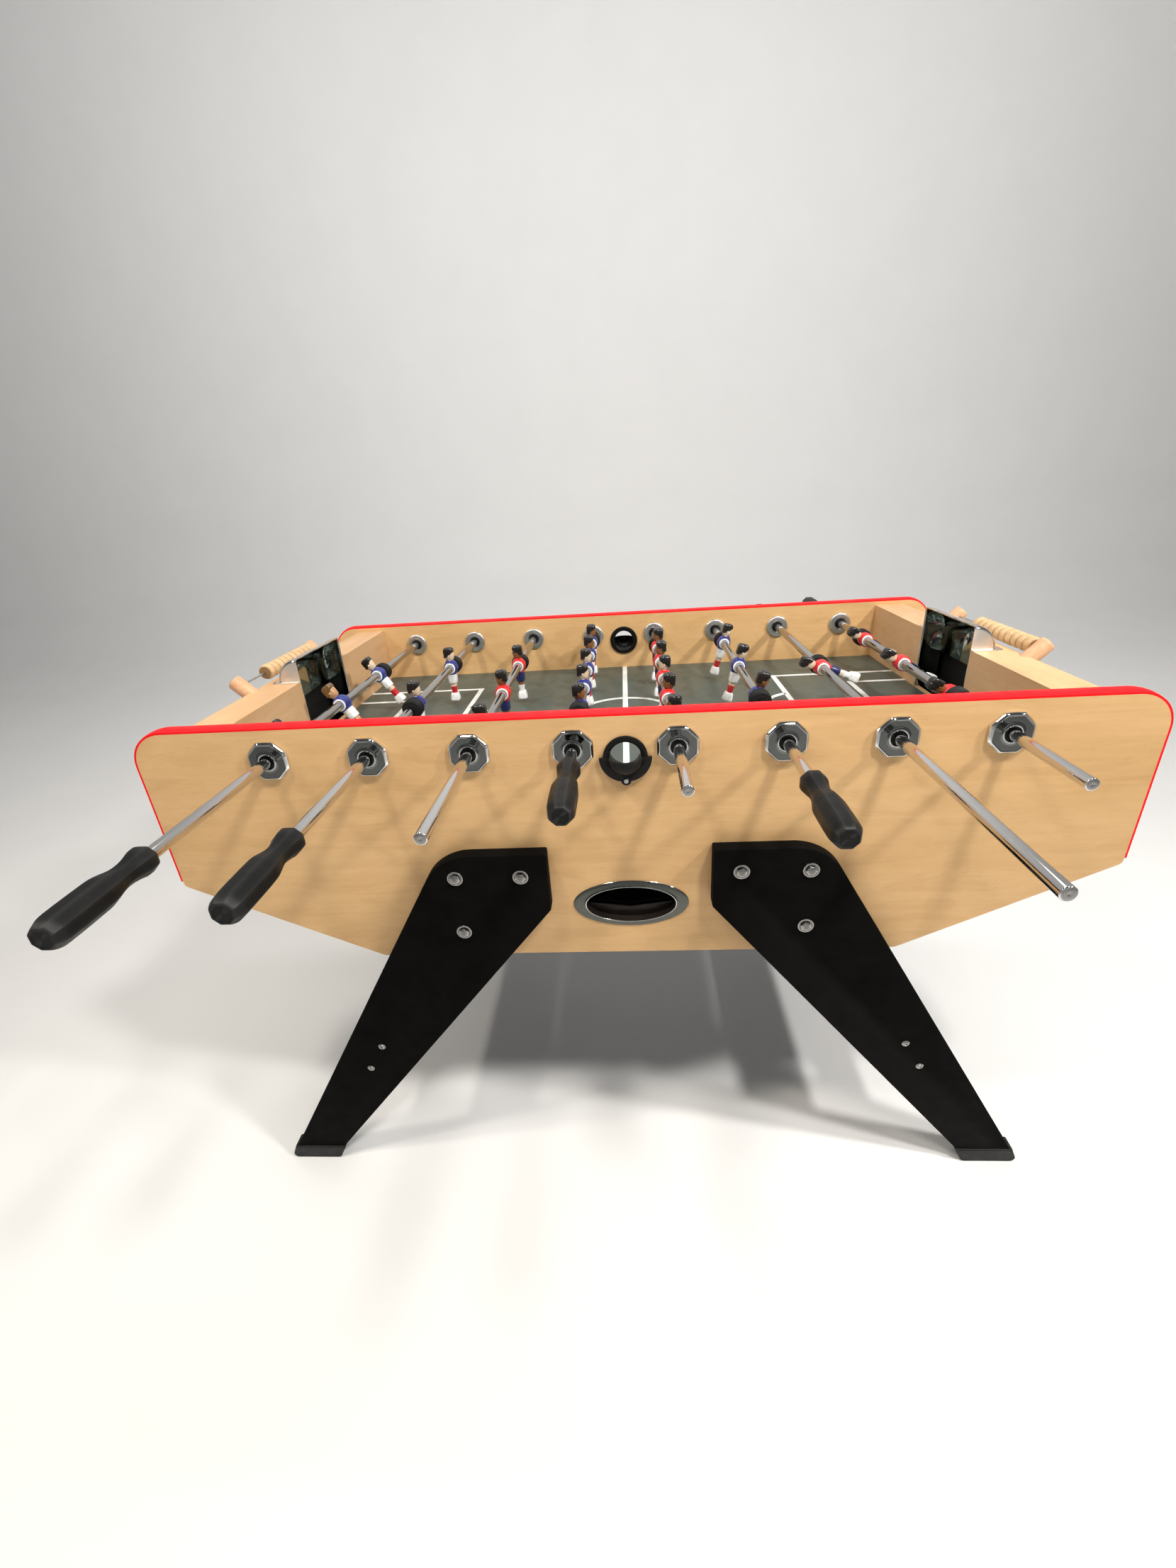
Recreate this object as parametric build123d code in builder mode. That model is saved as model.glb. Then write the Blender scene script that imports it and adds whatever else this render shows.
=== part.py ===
from build123d import *
import math
import os

os.makedirs("parts", exist_ok=True)

# Table football table: cabinet on four splayed board legs, eight sliding and turning rods,
# two goals, a ball return under the pitch, ball entries and outlets on both long sides,
# and a bead counter on the outside of each end.
# Millimetres. X along the table, Y across it (the side seen first is at -Y), Z up from the floor.

# ---------------------------------------------------------------- driving dimensions
ROD_PITCH = 150.0          # spacing of the rods along the table
ROD_Z = 860.0              # height of the rod axes
ROD_R = 8.0
RUN = 0.05                 # radial running clearance of rods and beads

IN_Y = 362.0               # inner face of the side panels
PANEL_T = 28.0
OUT_Y = IN_Y + PANEL_T     # outer face of the side panels
PANEL_X = 731.5            # half length of the panel board
PANEL_TOP = 906.5
PANEL_R = 50.0             # rounded upper corners
CORNER_Z = 643.0           # lower end of the panel's straight end
KEEL_X, KEEL_Z = 423.0, 493.0

TRIM_H = 4.6               # domed edge moulding
TRIM_END_Z = 652.0

FIELD_TOP = 777.0
FIELD_T = 10.0
FIELD_GROOVE = 8.0
END_IN, END_OUT = 606.0, 672.0
END_TOP = 898.0
END_SKIN, END_CAP = 12.0, 18.0
END_INNER_LOW, END_OUTER_LOW = 752.0, 655.0

GOAL_HALF = 98.0
HOOD_R = 42.0
HOOD_T = 1.5
HOOD_FLANGE = 10.0
HOOD_BACK_LOW = 850.0

CHUTE_MID_Z = 577.0        # top of the return boards where they meet
CHUTE_SLOPE = 0.153
CHUTE_T = 9.0
CHUTE_GROOVE = 6.0
CHUTE_END = END_OUT - END_SKIN

OUTLET_Z = 590.5
OUTLET_A, OUTLET_B = 74.0, 35.0       # half axes of the hole
ENTRY_Z = 845.0
ENTRY_R = 26.0

LEG_T = 24.0
LEG_BOTTOM = 30.0
BOLTS = [(270.5, 660.5), (168.0, 660.5), (270.5, 558.5)]
TIE_BOLTS = [(459.0, 304.6), (490.3, 250.6)]

BUSH_R = 11.0
HOLE_R = 11.2
FLANGE_AF, FLANGE_T, FLANGE_LIP_R, FLANGE_LIP = 60.0, 8.0, 13.4, 1.2
RING_R, RING_T = 25.0, 6.0

MAN_HALF = 14.0            # half width of a figure along its rod
BUMPER_R, BUMPER_L = 18.0, 22.0
BUMPER_GAP = 0.4
HANDLE_L = 142.0

POST_R, POST_Y = 14.0, 147.0
POST_FOOT = (END_OUT, 888.0)
POST_OUT, POST_IN = 44.0, 14.0
WIRE_AT = 30.0             # distance of the wire along the post from the wall face
WIRE_R = 2.0
BEAD_R, BEAD_L, BEADS = 14.5, 19.0, 10

# each rod: x position, figures, spacing, side of the handle (-1 near, +1 far), rest shift, rest tilt
RODS = [
    dict(x=-3.5, n=3, s=198.0, hand=-1, shift=-120.0, tilt=-34.0),
    dict(x=-2.5, n=2, s=255.0, hand=-1, shift=-17.0, tilt=0.0),
    dict(x=-1.5, n=3, s=198.0, hand=1, shift=-97.0, tilt=-2.0),
    dict(x=-0.5, n=5, s=122.0, hand=-1, shift=38.0, tilt=0.0),
    dict(x=0.5, n=5, s=122.0, hand=1, shift=-46.0, tilt=3.0),
    dict(x=1.5, n=3, s=198.0, hand=-1, shift=17.0, tilt=16.0),
    dict(x=2.5, n=2, s=255.0, hand=1, shift=-153.0, tilt=-71.0),
    dict(x=3.5, n=3, s=198.0, hand=1, shift=-18.0, tilt=-60.0),
]


def at_y(y):
    """Sketch plane across the table at this Y: local x is +X, local y is +Z, normal -Y."""
    return Plane.XZ.offset(-y)


def keep(builder, name):
    builder.part.label = name
    export_step(builder.part, f"parts/{name}.step")


def chute_top(x):
    return CHUTE_MID_Z + CHUTE_SLOPE * abs(x)


rod_x = [r["x"] * ROD_PITCH for r in RODS]


# ---------------------------------------------------------------- side panels and their moulding
def moulding_path(y):
    z0, zt, xb, r = TRIM_END_Z, PANEL_TOP, PANEL_X, PANEL_R
    q = r * (1 - math.sqrt(0.5))
    with BuildLine() as path:
        Line((-xb, y, z0), (-xb, y, zt - r))
        ThreePointArc((-xb, y, zt - r), (-xb + q, y, zt - q), (-xb + r, y, zt))
        Line((-xb + r, y, zt), (xb - r, y, zt))
        ThreePointArc((xb - r, y, zt), (xb - q, y, zt - q), (xb, y, zt - r))
        Line((xb, y, zt - r), (xb, y, z0))
    return path.wires()[0]


def moulding_plane(y):
    return Plane(origin=(-PANEL_X, y, TRIM_END_Z), x_dir=(0, 1, 0), z_dir=(0, 0, 1))


for side, sgn in (("near", -1), ("far", 1)):
    y_high = max(sgn * IN_Y, sgn * OUT_Y)
    mid = sgn * (IN_Y + OUT_Y) / 2
    with BuildPart() as panel:
        with BuildSketch(at_y(y_high)) as outline:
            with BuildLine():
                Polyline(
                    (-PANEL_X, CORNER_Z), (-PANEL_X, PANEL_TOP), (PANEL_X, PANEL_TOP), (PANEL_X, CORNER_Z),
                    (KEEL_X, KEEL_Z), (-KEEL_X, KEEL_Z), close=True,
                )
            make_face()
            fillet(outline.vertices().group_by(Axis.Y)[-1], PANEL_R)
            fillet(outline.vertices().group_by(Axis.Y)[0], 20)
            low = [v for v in outline.vertices() if abs(v.Y - CORNER_Z) < 1]
            fillet(low, 8)
        extrude(amount=PANEL_T)
        # rod holes, ball entry and ball outlet
        with BuildSketch(at_y(y_high)):
            with Locations(*[(x, ROD_Z) for x in rod_x]):
                Circle(HOLE_R)
            with Locations((0, ENTRY_Z)):
                Circle(ENTRY_R)
            with Locations((0, OUTLET_Z)):
                Ellipse(OUTLET_A, OUTLET_B)
        extrude(amount=PANEL_T, mode=Mode.SUBTRACT)
        # groove for the pitch board
        with BuildSketch(at_y(sgn * IN_Y)):
            with Locations((0, FIELD_TOP - FIELD_T / 2)):
                Rectangle(2 * END_IN, FIELD_T)
        extrude(amount=-sgn * FIELD_GROOVE, mode=Mode.SUBTRACT)
        # sloping grooves for the two return boards
        for s in (-1, 1):
            with BuildSketch(at_y(sgn * IN_Y)):
                with BuildLine():
                    Polyline(
                        (s * CHUTE_END, chute_top(CHUTE_END)), (s * 0.02, chute_top(0.02)),
                        (s * 0.02, chute_top(0.02) - CHUTE_T), (s * CHUTE_END, chute_top(CHUTE_END) - CHUTE_T), close=True,
                    )
                make_face()
            extrude(amount=-sgn * CHUTE_GROOVE, mode=Mode.SUBTRACT)
        # blind holes for the leg bolts
        with BuildSketch(at_y(sgn * OUT_Y)):
            with Locations(*[(s * x, z) for x, z in BOLTS for s in (-1, 1)]):
                Circle(4.1)
        extrude(amount=sgn * 22, mode=Mode.SUBTRACT)
        # pilot hole for the ball entry's screw
        with BuildSketch(at_y(sgn * OUT_Y)):
            with Locations((0, ENTRY_Z - 36)):
                Circle(1.6)
        extrude(amount=sgn * 13, mode=Mode.SUBTRACT)
        # slit that holds the moulding's tongue
        with BuildSketch(moulding_plane(mid)) as slit:
            with Locations((0, -4.2)):
                Rectangle(2.5, 8.4)
        sweep(sections=slit.sketch, path=moulding_path(mid), mode=Mode.SUBTRACT)
    keep(panel, f"{side}_side_panel")

with BuildPart() as edge_trims:
    for sgn in (-1, 1):
        mid = sgn * (IN_Y + OUT_Y) / 2
        half = PANEL_T / 2
        with BuildSketch(moulding_plane(mid)) as bead:
            with BuildLine():
                Polyline((-half, 3.0), (-half, 0), (-1.2, 0), (-1.2, -8), (1.2, -8), (1.2, 0), (half, 0), (half, 3.0))
                ThreePointArc((half, 3.0), (0, TRIM_H), (-half, 3.0))
            make_face()
        sweep(sections=bead.sketch, path=moulding_path(mid))
keep(edge_trims, "edge_trims")

# ---------------------------------------------------------------- end walls, pitch, ball return
for side, s in (("left", -1), ("right", 1)):
    with BuildPart() as wall:
        with BuildSketch(at_y(IN_Y)):
            with BuildLine():
                Polyline(
                    (s * END_IN, END_INNER_LOW), (s * END_IN, END_TOP), (s * END_OUT, END_TOP), (s * END_OUT, END_OUTER_LOW),
                    (s * (END_OUT - END_SKIN), END_OUTER_LOW), (s * (END_OUT - END_SKIN), END_TOP - END_CAP),
                    (s * (END_IN + END_SKIN), END_TOP - END_CAP), (s * (END_IN + END_SKIN), END_INNER_LOW), close=True,
                )
            make_face()
        extrude(amount=2 * IN_Y)
        # goal mouth through the inner board and the cap
        with BuildSketch(at_y(GOAL_HALF + 0.2)):
            with BuildLine():
                Polyline(
                    (s * (END_IN - 1), FIELD_TOP), (s * (END_IN - 1), END_TOP + 1), (s * (END_IN + HOOD_R + 2), END_TOP + 1),
                    (s * (END_IN + HOOD_R + 2), END_TOP - END_CAP - 1), (s * (END_IN + END_SKIN + 1), END_TOP - END_CAP - 1),
                    (s * (END_IN + END_SKIN + 1), FIELD_TOP), close=True,
                )
            make_face()
        extrude(amount=2 * (GOAL_HALF + 0.2), mode=Mode.SUBTRACT)
        # slanted sockets for the counter posts
        d = math.sqrt(0.5)
        for y in (-POST_Y, POST_Y):
            start = Plane(origin=(s * (POST_FOOT[0] - POST_IN * d), y, POST_FOOT[1] - POST_IN * d), x_dir=(0, 1, 0), z_dir=(s * d, 0, d))
            with BuildSketch(start):
                Circle(POST_R + 0.1)
            extrude(amount=POST_IN + 40, mode=Mode.SUBTRACT)
    keep(wall, f"{side}_end_wall")

with BuildPart() as playfield:
    with BuildSketch(Plane.XY.offset(FIELD_TOP - FIELD_T)):
        Rectangle(2 * END_IN, 2 * (IN_Y + FIELD_GROOVE))
    extrude(amount=FIELD_T)
keep(playfield, "playfield")

with BuildPart() as ball_return_boards:
    for s in (-1, 1):
        with BuildSketch(at_y(IN_Y + CHUTE_GROOVE)):
            with BuildLine():
                Polyline(
                    (s * CHUTE_END, chute_top(CHUTE_END)), (s * 0.02, chute_top(0.02)),
                    (s * 0.02, chute_top(0.02) - CHUTE_T), (s * CHUTE_END, chute_top(CHUTE_END) - CHUTE_T), close=True,
                )
            make_face()
        extrude(amount=2 * (IN_Y + CHUTE_GROOVE))
keep(ball_return_boards, "ball_return_boards")

# ---------------------------------------------------------------- goal hoods: thin bright shells
for side, s in (("left", -1), ("right", 1)):
    with BuildPart() as hood:
        # quarter-round roof over flat cheeks that run down to the pitch
        with BuildSketch(at_y(GOAL_HALF)):
            with BuildLine():
                c = math.sqrt(0.5) * HOOD_R
                Polyline((s * (END_IN + HOOD_R), END_TOP), (s * (END_IN + HOOD_R), FIELD_TOP), (s * END_IN, FIELD_TOP), (s * END_IN, END_TOP + HOOD_R))
                ThreePointArc((s * END_IN, END_TOP + HOOD_R), (s * (END_IN + c), END_TOP + c), (s * (END_IN + HOOD_R), END_TOP))
            make_face()
        extrude(amount=2 * GOAL_HALF)
        # base flange on the wall's cap
        with BuildSketch(Plane.XY.offset(END_TOP)):
            with Locations((s * (END_IN + (HOOD_R + HOOD_FLANGE) / 2), 0)):
                Rectangle(HOOD_R + HOOD_FLANGE, 2 * (GOAL_HALF + HOOD_FLANGE))
        extrude(amount=HOOD_T)
        # hollow inside, open to the pitch
        with BuildSketch(at_y(GOAL_HALF - HOOD_T)):
            with BuildLine():
                ri = HOOD_R - HOOD_T
                c = math.sqrt(0.5) * ri
                Polyline((s * (END_IN + ri), END_TOP), (s * (END_IN + ri), FIELD_TOP - 1), (s * (END_IN - 1), FIELD_TOP - 1), (s * (END_IN - 1), END_TOP + ri), (s * END_IN, END_TOP + ri))
                ThreePointArc((s * END_IN, END_TOP + ri), (s * (END_IN + c), END_TOP + c), (s * (END_IN + ri), END_TOP))
            make_face()
        extrude(amount=2 * (GOAL_HALF - HOOD_T), mode=Mode.SUBTRACT)
        # the back plate stops short, so that the ball drops into the wall
        with BuildSketch(at_y(GOAL_HALF - HOOD_T)):
            with Locations((s * (END_IN + HOOD_R), (FIELD_TOP - 1 + HOOD_BACK_LOW) / 2)):
                Rectangle(8, HOOD_BACK_LOW - FIELD_TOP + 1)
        extrude(amount=2 * (GOAL_HALF - HOOD_T), mode=Mode.SUBTRACT)
    keep(hood, f"{side}_goal_hood")

# ---------------------------------------------------------------- ball outlets
with BuildPart() as ball_outlet_bezels:
    for sgn in (-1, 1):
        base = at_y(sgn * OUT_Y)
        with BuildSketch(base):
            with Locations((0, OUTLET_Z)):
                Ellipse(92, 43)
        extrude(amount=-sgn * 2.5)
        with BuildSketch(at_y(sgn * (OUT_Y + 2.5))):
            with Locations((0, OUTLET_Z)):
                Ellipse(87, 39.5)
        extrude(amount=-sgn * 2)
        with BuildSketch(base):
            with Locations((0, OUTLET_Z)):
                Ellipse(OUTLET_A - 0.2, OUTLET_B - 0.2)
        extrude(amount=sgn * 12)
    for sgn in (-1, 1):
        with BuildSketch(at_y(sgn * (OUT_Y + 6))):
            with Locations((0, OUTLET_Z)):
                Ellipse(71, 32)
        extrude(amount=sgn * 20, mode=Mode.SUBTRACT)
keep(ball_outlet_bezels, "ball_outlet_bezels")

# ---------------------------------------------------------------- ball entries: outer cups and inner rings
with BuildPart() as ball_entry_cups:
    for sgn in (-1, 1):
        base = at_y(sgn * OUT_Y)
        # ring above, wider wing with a screw tab below
        with BuildSketch(base):
            with Locations((0, ENTRY_Z)):
                Circle(32)
        extrude(amount=-sgn * 4)
        with BuildSketch(base):
            with Locations((0, ENTRY_Z)):
                Circle(38)
            with Locations((0, ENTRY_Z + 50)):
                Rectangle(120, 100, mode=Mode.SUBTRACT)
            with Locations((0, ENTRY_Z - 36)):
                Circle(7)
        extrude(amount=-sgn * 6)
        # sleeve through the outer half of the panel
        with BuildSketch(base):
            with Locations((0, ENTRY_Z)):
                Circle(ENTRY_R - 0.2)
        extrude(amount=sgn * 13.8)
        # half bowl standing out of the wing
        with Locations((0, sgn * OUT_Y, ENTRY_Z)):
            Sphere(26.5, arc_size1=-90, arc_size2=0, arc_size3=180, rotation=(0, 0, 0 if sgn > 0 else 180), align=None)
    for sgn in (-1, 1):
        with BuildSketch(at_y(sgn * (OUT_Y + 8))):
            with Locations((0, ENTRY_Z)):
                Circle(22.5)
        extrude(amount=sgn * 40, mode=Mode.SUBTRACT)
        with Locations((0, sgn * OUT_Y, ENTRY_Z)):
            Sphere(23.5, mode=Mode.SUBTRACT)
        with BuildSketch(at_y(sgn * (OUT_Y + 8))):
            with Locations((0, ENTRY_Z - 36)):
                Circle(1.8)
        extrude(amount=sgn * 12, mode=Mode.SUBTRACT)
keep(ball_entry_cups, "ball_entry_cups")

with BuildPart() as ball_entry_rings:
    for sgn in (-1, 1):
        with BuildSketch(at_y(sgn * IN_Y)):
            with Locations((0, ENTRY_Z)):
                Circle(33.5)
        extrude(amount=sgn * 4)
        with BuildSketch(at_y(sgn * IN_Y)):
            with Locations((0, ENTRY_Z)):
                Circle(ENTRY_R - 0.2)
        extrude(amount=-sgn * 13.8)
    for sgn in (-1, 1):
        with BuildSketch(at_y(sgn * (IN_Y + 20))):
            with Locations((0, ENTRY_Z)):
                Circle(22.5)
        extrude(amount=sgn * 30, mode=Mode.SUBTRACT)
keep(ball_entry_rings, "ball_entry_rings")

with BuildPart() as entry_cup_screws:
    for sgn in (-1, 1):
        with BuildSketch(at_y(sgn * (OUT_Y + 6))):
            with Locations((0, ENTRY_Z - 36)):
                Circle(4)
        extrude(amount=-sgn * 2, taper=20)
        with BuildSketch(at_y(sgn * (OUT_Y + 6))):
            with Locations((0, ENTRY_Z - 36)):
                Circle(1.5)
        extrude(amount=sgn * 18)
keep(entry_cup_screws, "entry_cup_screws")

# ---------------------------------------------------------------- legs
for front, sgn in (("near", -1), ("far", 1)):
    for side, s in (("left", -1), ("right", 1)):
        with BuildPart() as leg:
            with BuildSketch(at_y(sgn * OUT_Y)) as board:
                with BuildLine():
                    Polyline(
                        (s * 126, 699), (s * 293, 699), (s * 689.5, LEG_BOTTOM), (s * 592.5, LEG_BOTTOM), (s * 126, 597), close=True,
                    )
                make_face()
                knee = [v for v in board.vertices() if abs(abs(v.X) - 293) < 1]
                fillet(knee, 84)
                tips = [v for v in board.vertices() if abs(abs(v.X) - 126) < 1]
                fillet(tips, 3)
            extrude(amount=-sgn * LEG_T)
            with BuildSketch(at_y(sgn * OUT_Y)):
                with Locations(*[(s * x, z) for x, z in BOLTS]):
                    Circle(4.1)
                with Locations(*[(s * x, z) for x, z in TIE_BOLTS]):
                    Circle(3.1)
            extrude(amount=-sgn * LEG_T, mode=Mode.SUBTRACT)
        keep(leg, f"{front}_{side}_leg")

with BuildPart() as leg_feet:
    for sgn in (-1, 1):
        for s in (-1, 1):
            y_high = max(sgn * (OUT_Y - 2), sgn * (OUT_Y + LEG_T + 2))
            with BuildSketch(at_y(y_high)) as shoe:
                with BuildLine():
                    Polyline((s * 692, LEG_BOTTOM + 3), (s * 706, 0), (s * 605, 0), (s * 588, LEG_BOTTOM + 3), close=True)
                make_face()
                fillet([v for v in shoe.vertices() if abs(v.Y) < 1], 9)
            extrude(amount=LEG_T + 4)
            # recess that takes the end of the leg
            with BuildSketch(at_y(max(sgn * OUT_Y, sgn * (OUT_Y + LEG_T)))):
                with BuildLine():
                    Polyline((s * 689.5, LEG_BOTTOM), (s * 592.5, LEG_BOTTOM), (s * 589.0, LEG_BOTTOM + 4.2), (s * 687.1, LEG_BOTTOM + 4.2), close=True)
                make_face()
            extrude(amount=LEG_T, mode=Mode.SUBTRACT)
keep(leg_feet, "leg_feet")

with BuildPart() as leg_bolts:
    for sgn in (-1, 1):
        face = sgn * (OUT_Y + LEG_T)
        spots = [(s * x, z) for x, z in BOLTS for s in (-1, 1)]
        with BuildSketch(at_y(face)):
            with Locations(*spots):
                Circle(11.5)
        extrude(amount=-sgn * 1.5)
        with BuildSketch(at_y(face + sgn * 1.5)):
            with Locations(*spots):
                RegularPolygon(8.5, 6)
        extrude(amount=-sgn * 4.5, taper=8)
        with BuildSketch(at_y(face)):
            with Locations(*spots):
                Circle(4)
        extrude(amount=sgn * 44)
keep(leg_bolts, "leg_bolts")

tie_mid = [(TIE_BOLTS[0][i] + TIE_BOLTS[1][i]) / 2 for i in (0, 1)]
tie_dir = math.degrees(math.atan2(TIE_BOLTS[1][1] - TIE_BOLTS[0][1], TIE_BOLTS[1][0] - TIE_BOLTS[0][0]))
with BuildPart() as leg_stretchers:
    for s in (-1, 1):
        with BuildSketch(at_y(OUT_Y)):
            with Locations(Location((s * tie_mid[0], tie_mid[1], 0), (0, 0, s * tie_dir))):
                Rectangle(110, 22)
        extrude(amount=2 * OUT_Y)
    for sgn in (-1, 1):
        with BuildSketch(at_y(sgn * OUT_Y)):
            with Locations(*[(s * x, z) for x, z in TIE_BOLTS for s in (-1, 1)]):
                Circle(3.1)
        extrude(amount=sgn * 45, mode=Mode.SUBTRACT)
keep(leg_stretchers, "leg_stretchers")

with BuildPart() as stretcher_bolts:
    for sgn in (-1, 1):
        face = sgn * (OUT_Y + LEG_T)
        spots = [(s * x, z) for x, z in TIE_BOLTS for s in (-1, 1)]
        with BuildSketch(at_y(face)):
            with Locations(*spots):
                Circle(6.2)
        extrude(amount=-sgn * 3, taper=25)
        with BuildSketch(at_y(face)):
            with Locations(*spots):
                Circle(3)
        extrude(amount=sgn * 66)
keep(stretcher_bolts, "stretcher_bolts")

# ---------------------------------------------------------------- rod bearings
with BuildPart() as outer_bearing_flanges:
    for sgn in (-1, 1):
        spots = [(x, ROD_Z) for x in rod_x]
        across = FLANGE_AF / 2 / math.cos(math.pi / 8)
        with BuildSketch(at_y(sgn * OUT_Y)):
            with Locations(*spots):
                RegularPolygon(across, 8, rotation=22.5)
        extrude(amount=-sgn * (FLANGE_T - 3))
        with BuildSketch(at_y(sgn * (OUT_Y + FLANGE_T - 3))):
            with Locations(*spots):
                RegularPolygon(across, 8, rotation=22.5)
        extrude(amount=-sgn * 3, taper=45)
        with BuildSketch(at_y(sgn * (OUT_Y + FLANGE_T))):
            with Locations(*spots):
                Circle(FLANGE_LIP_R)
        extrude(amount=-sgn * FLANGE_LIP)
    for sgn in (-1, 1):
        with BuildSketch(at_y(sgn * OUT_Y)):
            with Locations(*[(x, ROD_Z) for x in rod_x]):
                Circle(HOLE_R)
        extrude(amount=-sgn * (FLANGE_T + FLANGE_LIP), mode=Mode.SUBTRACT)
keep(outer_bearing_flanges, "outer_bearing_flanges")

with BuildPart() as inner_bearing_rings:
    for sgn in (-1, 1):
        with BuildSketch(at_y(sgn * IN_Y)):
            with Locations(*[(x, ROD_Z) for x in rod_x]):
                Circle(RING_R)
                Circle(HOLE_R, mode=Mode.SUBTRACT)
        extrude(amount=sgn * RING_T)
    rims = [e for e in inner_bearing_rings.edges().filter_by(GeomType.CIRCLE) if e.radius > 20 and abs(abs(e.center().Y) - (IN_Y - RING_T)) < 0.1]
    chamfer(rims, 2.5)
keep(inner_bearing_rings, "inner_bearing_rings")

with BuildPart() as bearing_bushes:
    for sgn in (-1, 1):
        y0, y1 = IN_Y - RING_T + 2, OUT_Y + FLANGE_T + FLANGE_LIP - 3
        with BuildSketch(at_y(sgn * y0)):
            with Locations(*[(x, ROD_Z) for x in rod_x]):
                Circle(BUSH_R)
                Circle(ROD_R + RUN, mode=Mode.SUBTRACT)
        extrude(amount=-sgn * (y1 - y0))
keep(bearing_bushes, "bearing_bushes")

# ---------------------------------------------------------------- rods with their figures, bumpers and handles
for k, r in enumerate(RODS, start=1):
    x, hand = rod_x[k - 1], r["hand"]
    half_group = r["s"] * (r["n"] - 1) / 2 + MAN_HALF + BUMPER_GAP + BUMPER_L
    travel = IN_Y - RING_T - half_group - 0.5
    centre = r["shift"]
    print(f"rod {k}: travel +-{travel:.2f}, from rest {-travel - centre:.2f} to {travel - centre:.2f}")
    bare = OUT_Y + 10 + travel + 20
    grip = OUT_Y + 10 + travel + 17
    y_bare = centre - hand * bare
    y_grip = centre + hand * grip
    y_end = y_grip + hand * (HANDLE_L - 14)

    with BuildPart() as rod:
        with BuildSketch(at_y(max(y_bare, y_end))):
            with Locations((x, ROD_Z)):
                Circle(ROD_R)
        extrude(amount=abs(y_end - y_bare))
        chamfer(rod.edges().filter_by(GeomType.CIRCLE), 1)
    keep(rod, f"rod_{k}")

    # eight-sided grip: collar, waist, swelling and rounded end
    with BuildPart() as handle:
        for d, radius in ((0, 14.5), (5, 16.5), (16, 16.5), (26, 14.6), (38, 12.8), (50, 14.6), (66, 17.6), (80, 18.2), (130, 17.6), (138, 16.2), (142, 13.5)):
            with BuildSketch(at_y(y_grip + hand * d)):
                with Locations((x, ROD_Z)):
                    RegularPolygon(radius, 8, rotation=22.5)
        loft(ruled=True)
        with BuildSketch(at_y(y_grip)):
            with Locations((x, ROD_Z)):
                Circle(ROD_R + 0.02)
        extrude(amount=-hand * (HANDLE_L - 13), mode=Mode.SUBTRACT)
    keep(handle, f"handle_{k}")

    t = math.radians(r["tilt"])
    places = [centre + r["s"] * (i - (r["n"] - 1) / 2) for i in range(r["n"])]
    shapes = [
        (12.0, [(-10, -13), (10, -13), (14, -5), (14.5, 4), (12, 11), (6, 15.5), (-6, 15.5), (-12, 11), (-14.5, 4), (-14, -5)]),
        (10.0, [(-8, 13), (8, 13), (11, 19), (11.5, 35), (9, 43.5), (-9, 43.5), (-12.5, 39), (-11, 19)]),
        (11.0, [(-10, -12), (10, -12), (9, -33), (-9, -33)]),
        (6.5, [(-6.5, -32), (6.5, -32), (5.5, -54), (-5.5, -54)]),
        (10.0, [(-7, -52), (7, -52), (10, -63), (10, -73), (-10, -73), (-10, -63)]),
    ]
    with BuildPart() as men:
        for y in places:
            up = Plane(origin=(x, y, ROD_Z), x_dir=(math.cos(t), 0, -math.sin(t)), z_dir=(0, -1, 0))
            with BuildSketch(up):
                Circle(11.8)
            extrude(amount=MAN_HALF, both=True)
            for half, outline in shapes:
                with BuildSketch(up):
                    with BuildLine():
                        Polyline(*outline, close=True)
                    make_face()
                extrude(amount=half, both=True)
        for y in places:
            with BuildSketch(at_y(y + MAN_HALF)):
                with Locations((x, ROD_Z)):
                    Circle(ROD_R + 0.02)
            extrude(amount=2 * MAN_HALF, mode=Mode.SUBTRACT)
    keep(men, f"players_{k}")

    # ribbed rubber buffers beside the outermost figures
    with BuildPart() as bumpers:
        for e in (-1, 1):
            start = centre + e * (r["s"] * (r["n"] - 1) / 2 + MAN_HALF + BUMPER_GAP)
            for i, (length, radius) in enumerate(((5.0, BUMPER_R), (1.7, 15.5), (5.0, BUMPER_R), (1.6, 15.5), (5.0, BUMPER_R), (1.7, 15.5), (2.0, BUMPER_R - 1.5))):
                offset = (0, 5.0, 6.7, 11.7, 13.3, 18.3, 20.0)[i]
                with BuildSketch(at_y(start + e * offset)):
                    with Locations((x, ROD_Z)):
                        Circle(radius)
                extrude(amount=-e * length)
            with BuildSketch(at_y(start)):
                with Locations((x, ROD_Z)):
                    Circle(ROD_R + RUN)
            extrude(amount=-e * BUMPER_L, mode=Mode.SUBTRACT)
    keep(bumpers, f"bumpers_{k}")

# ---------------------------------------------------------------- bead counters
d = math.sqrt(0.5)
wire_x = POST_FOOT[0] + WIRE_AT * d
wire_z = POST_FOOT[1] + WIRE_AT * d

with BuildPart() as score_posts:
    for s in (-1, 1):
        for y in (-POST_Y, POST_Y):
            start = Plane(origin=(s * (POST_FOOT[0] - POST_IN * d), y, POST_FOOT[1] - POST_IN * d), x_dir=(0, 1, 0), z_dir=(s * d, 0, d))
            with BuildSketch(start):
                Circle(POST_R)
            extrude(amount=POST_IN + POST_OUT)
    ends = [e for e in score_posts.edges().filter_by(GeomType.CIRCLE) if e.center().Z > POST_FOOT[1]]
    chamfer(ends, 2)
    for s in (-1, 1):
        with BuildSketch(at_y(POST_Y + 5)):
            with Locations((s * wire_x, wire_z)):
                Circle(WIRE_R + 0.1)
        extrude(amount=2 * (POST_Y + 5), mode=Mode.SUBTRACT)
keep(score_posts, "score_posts")

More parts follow.
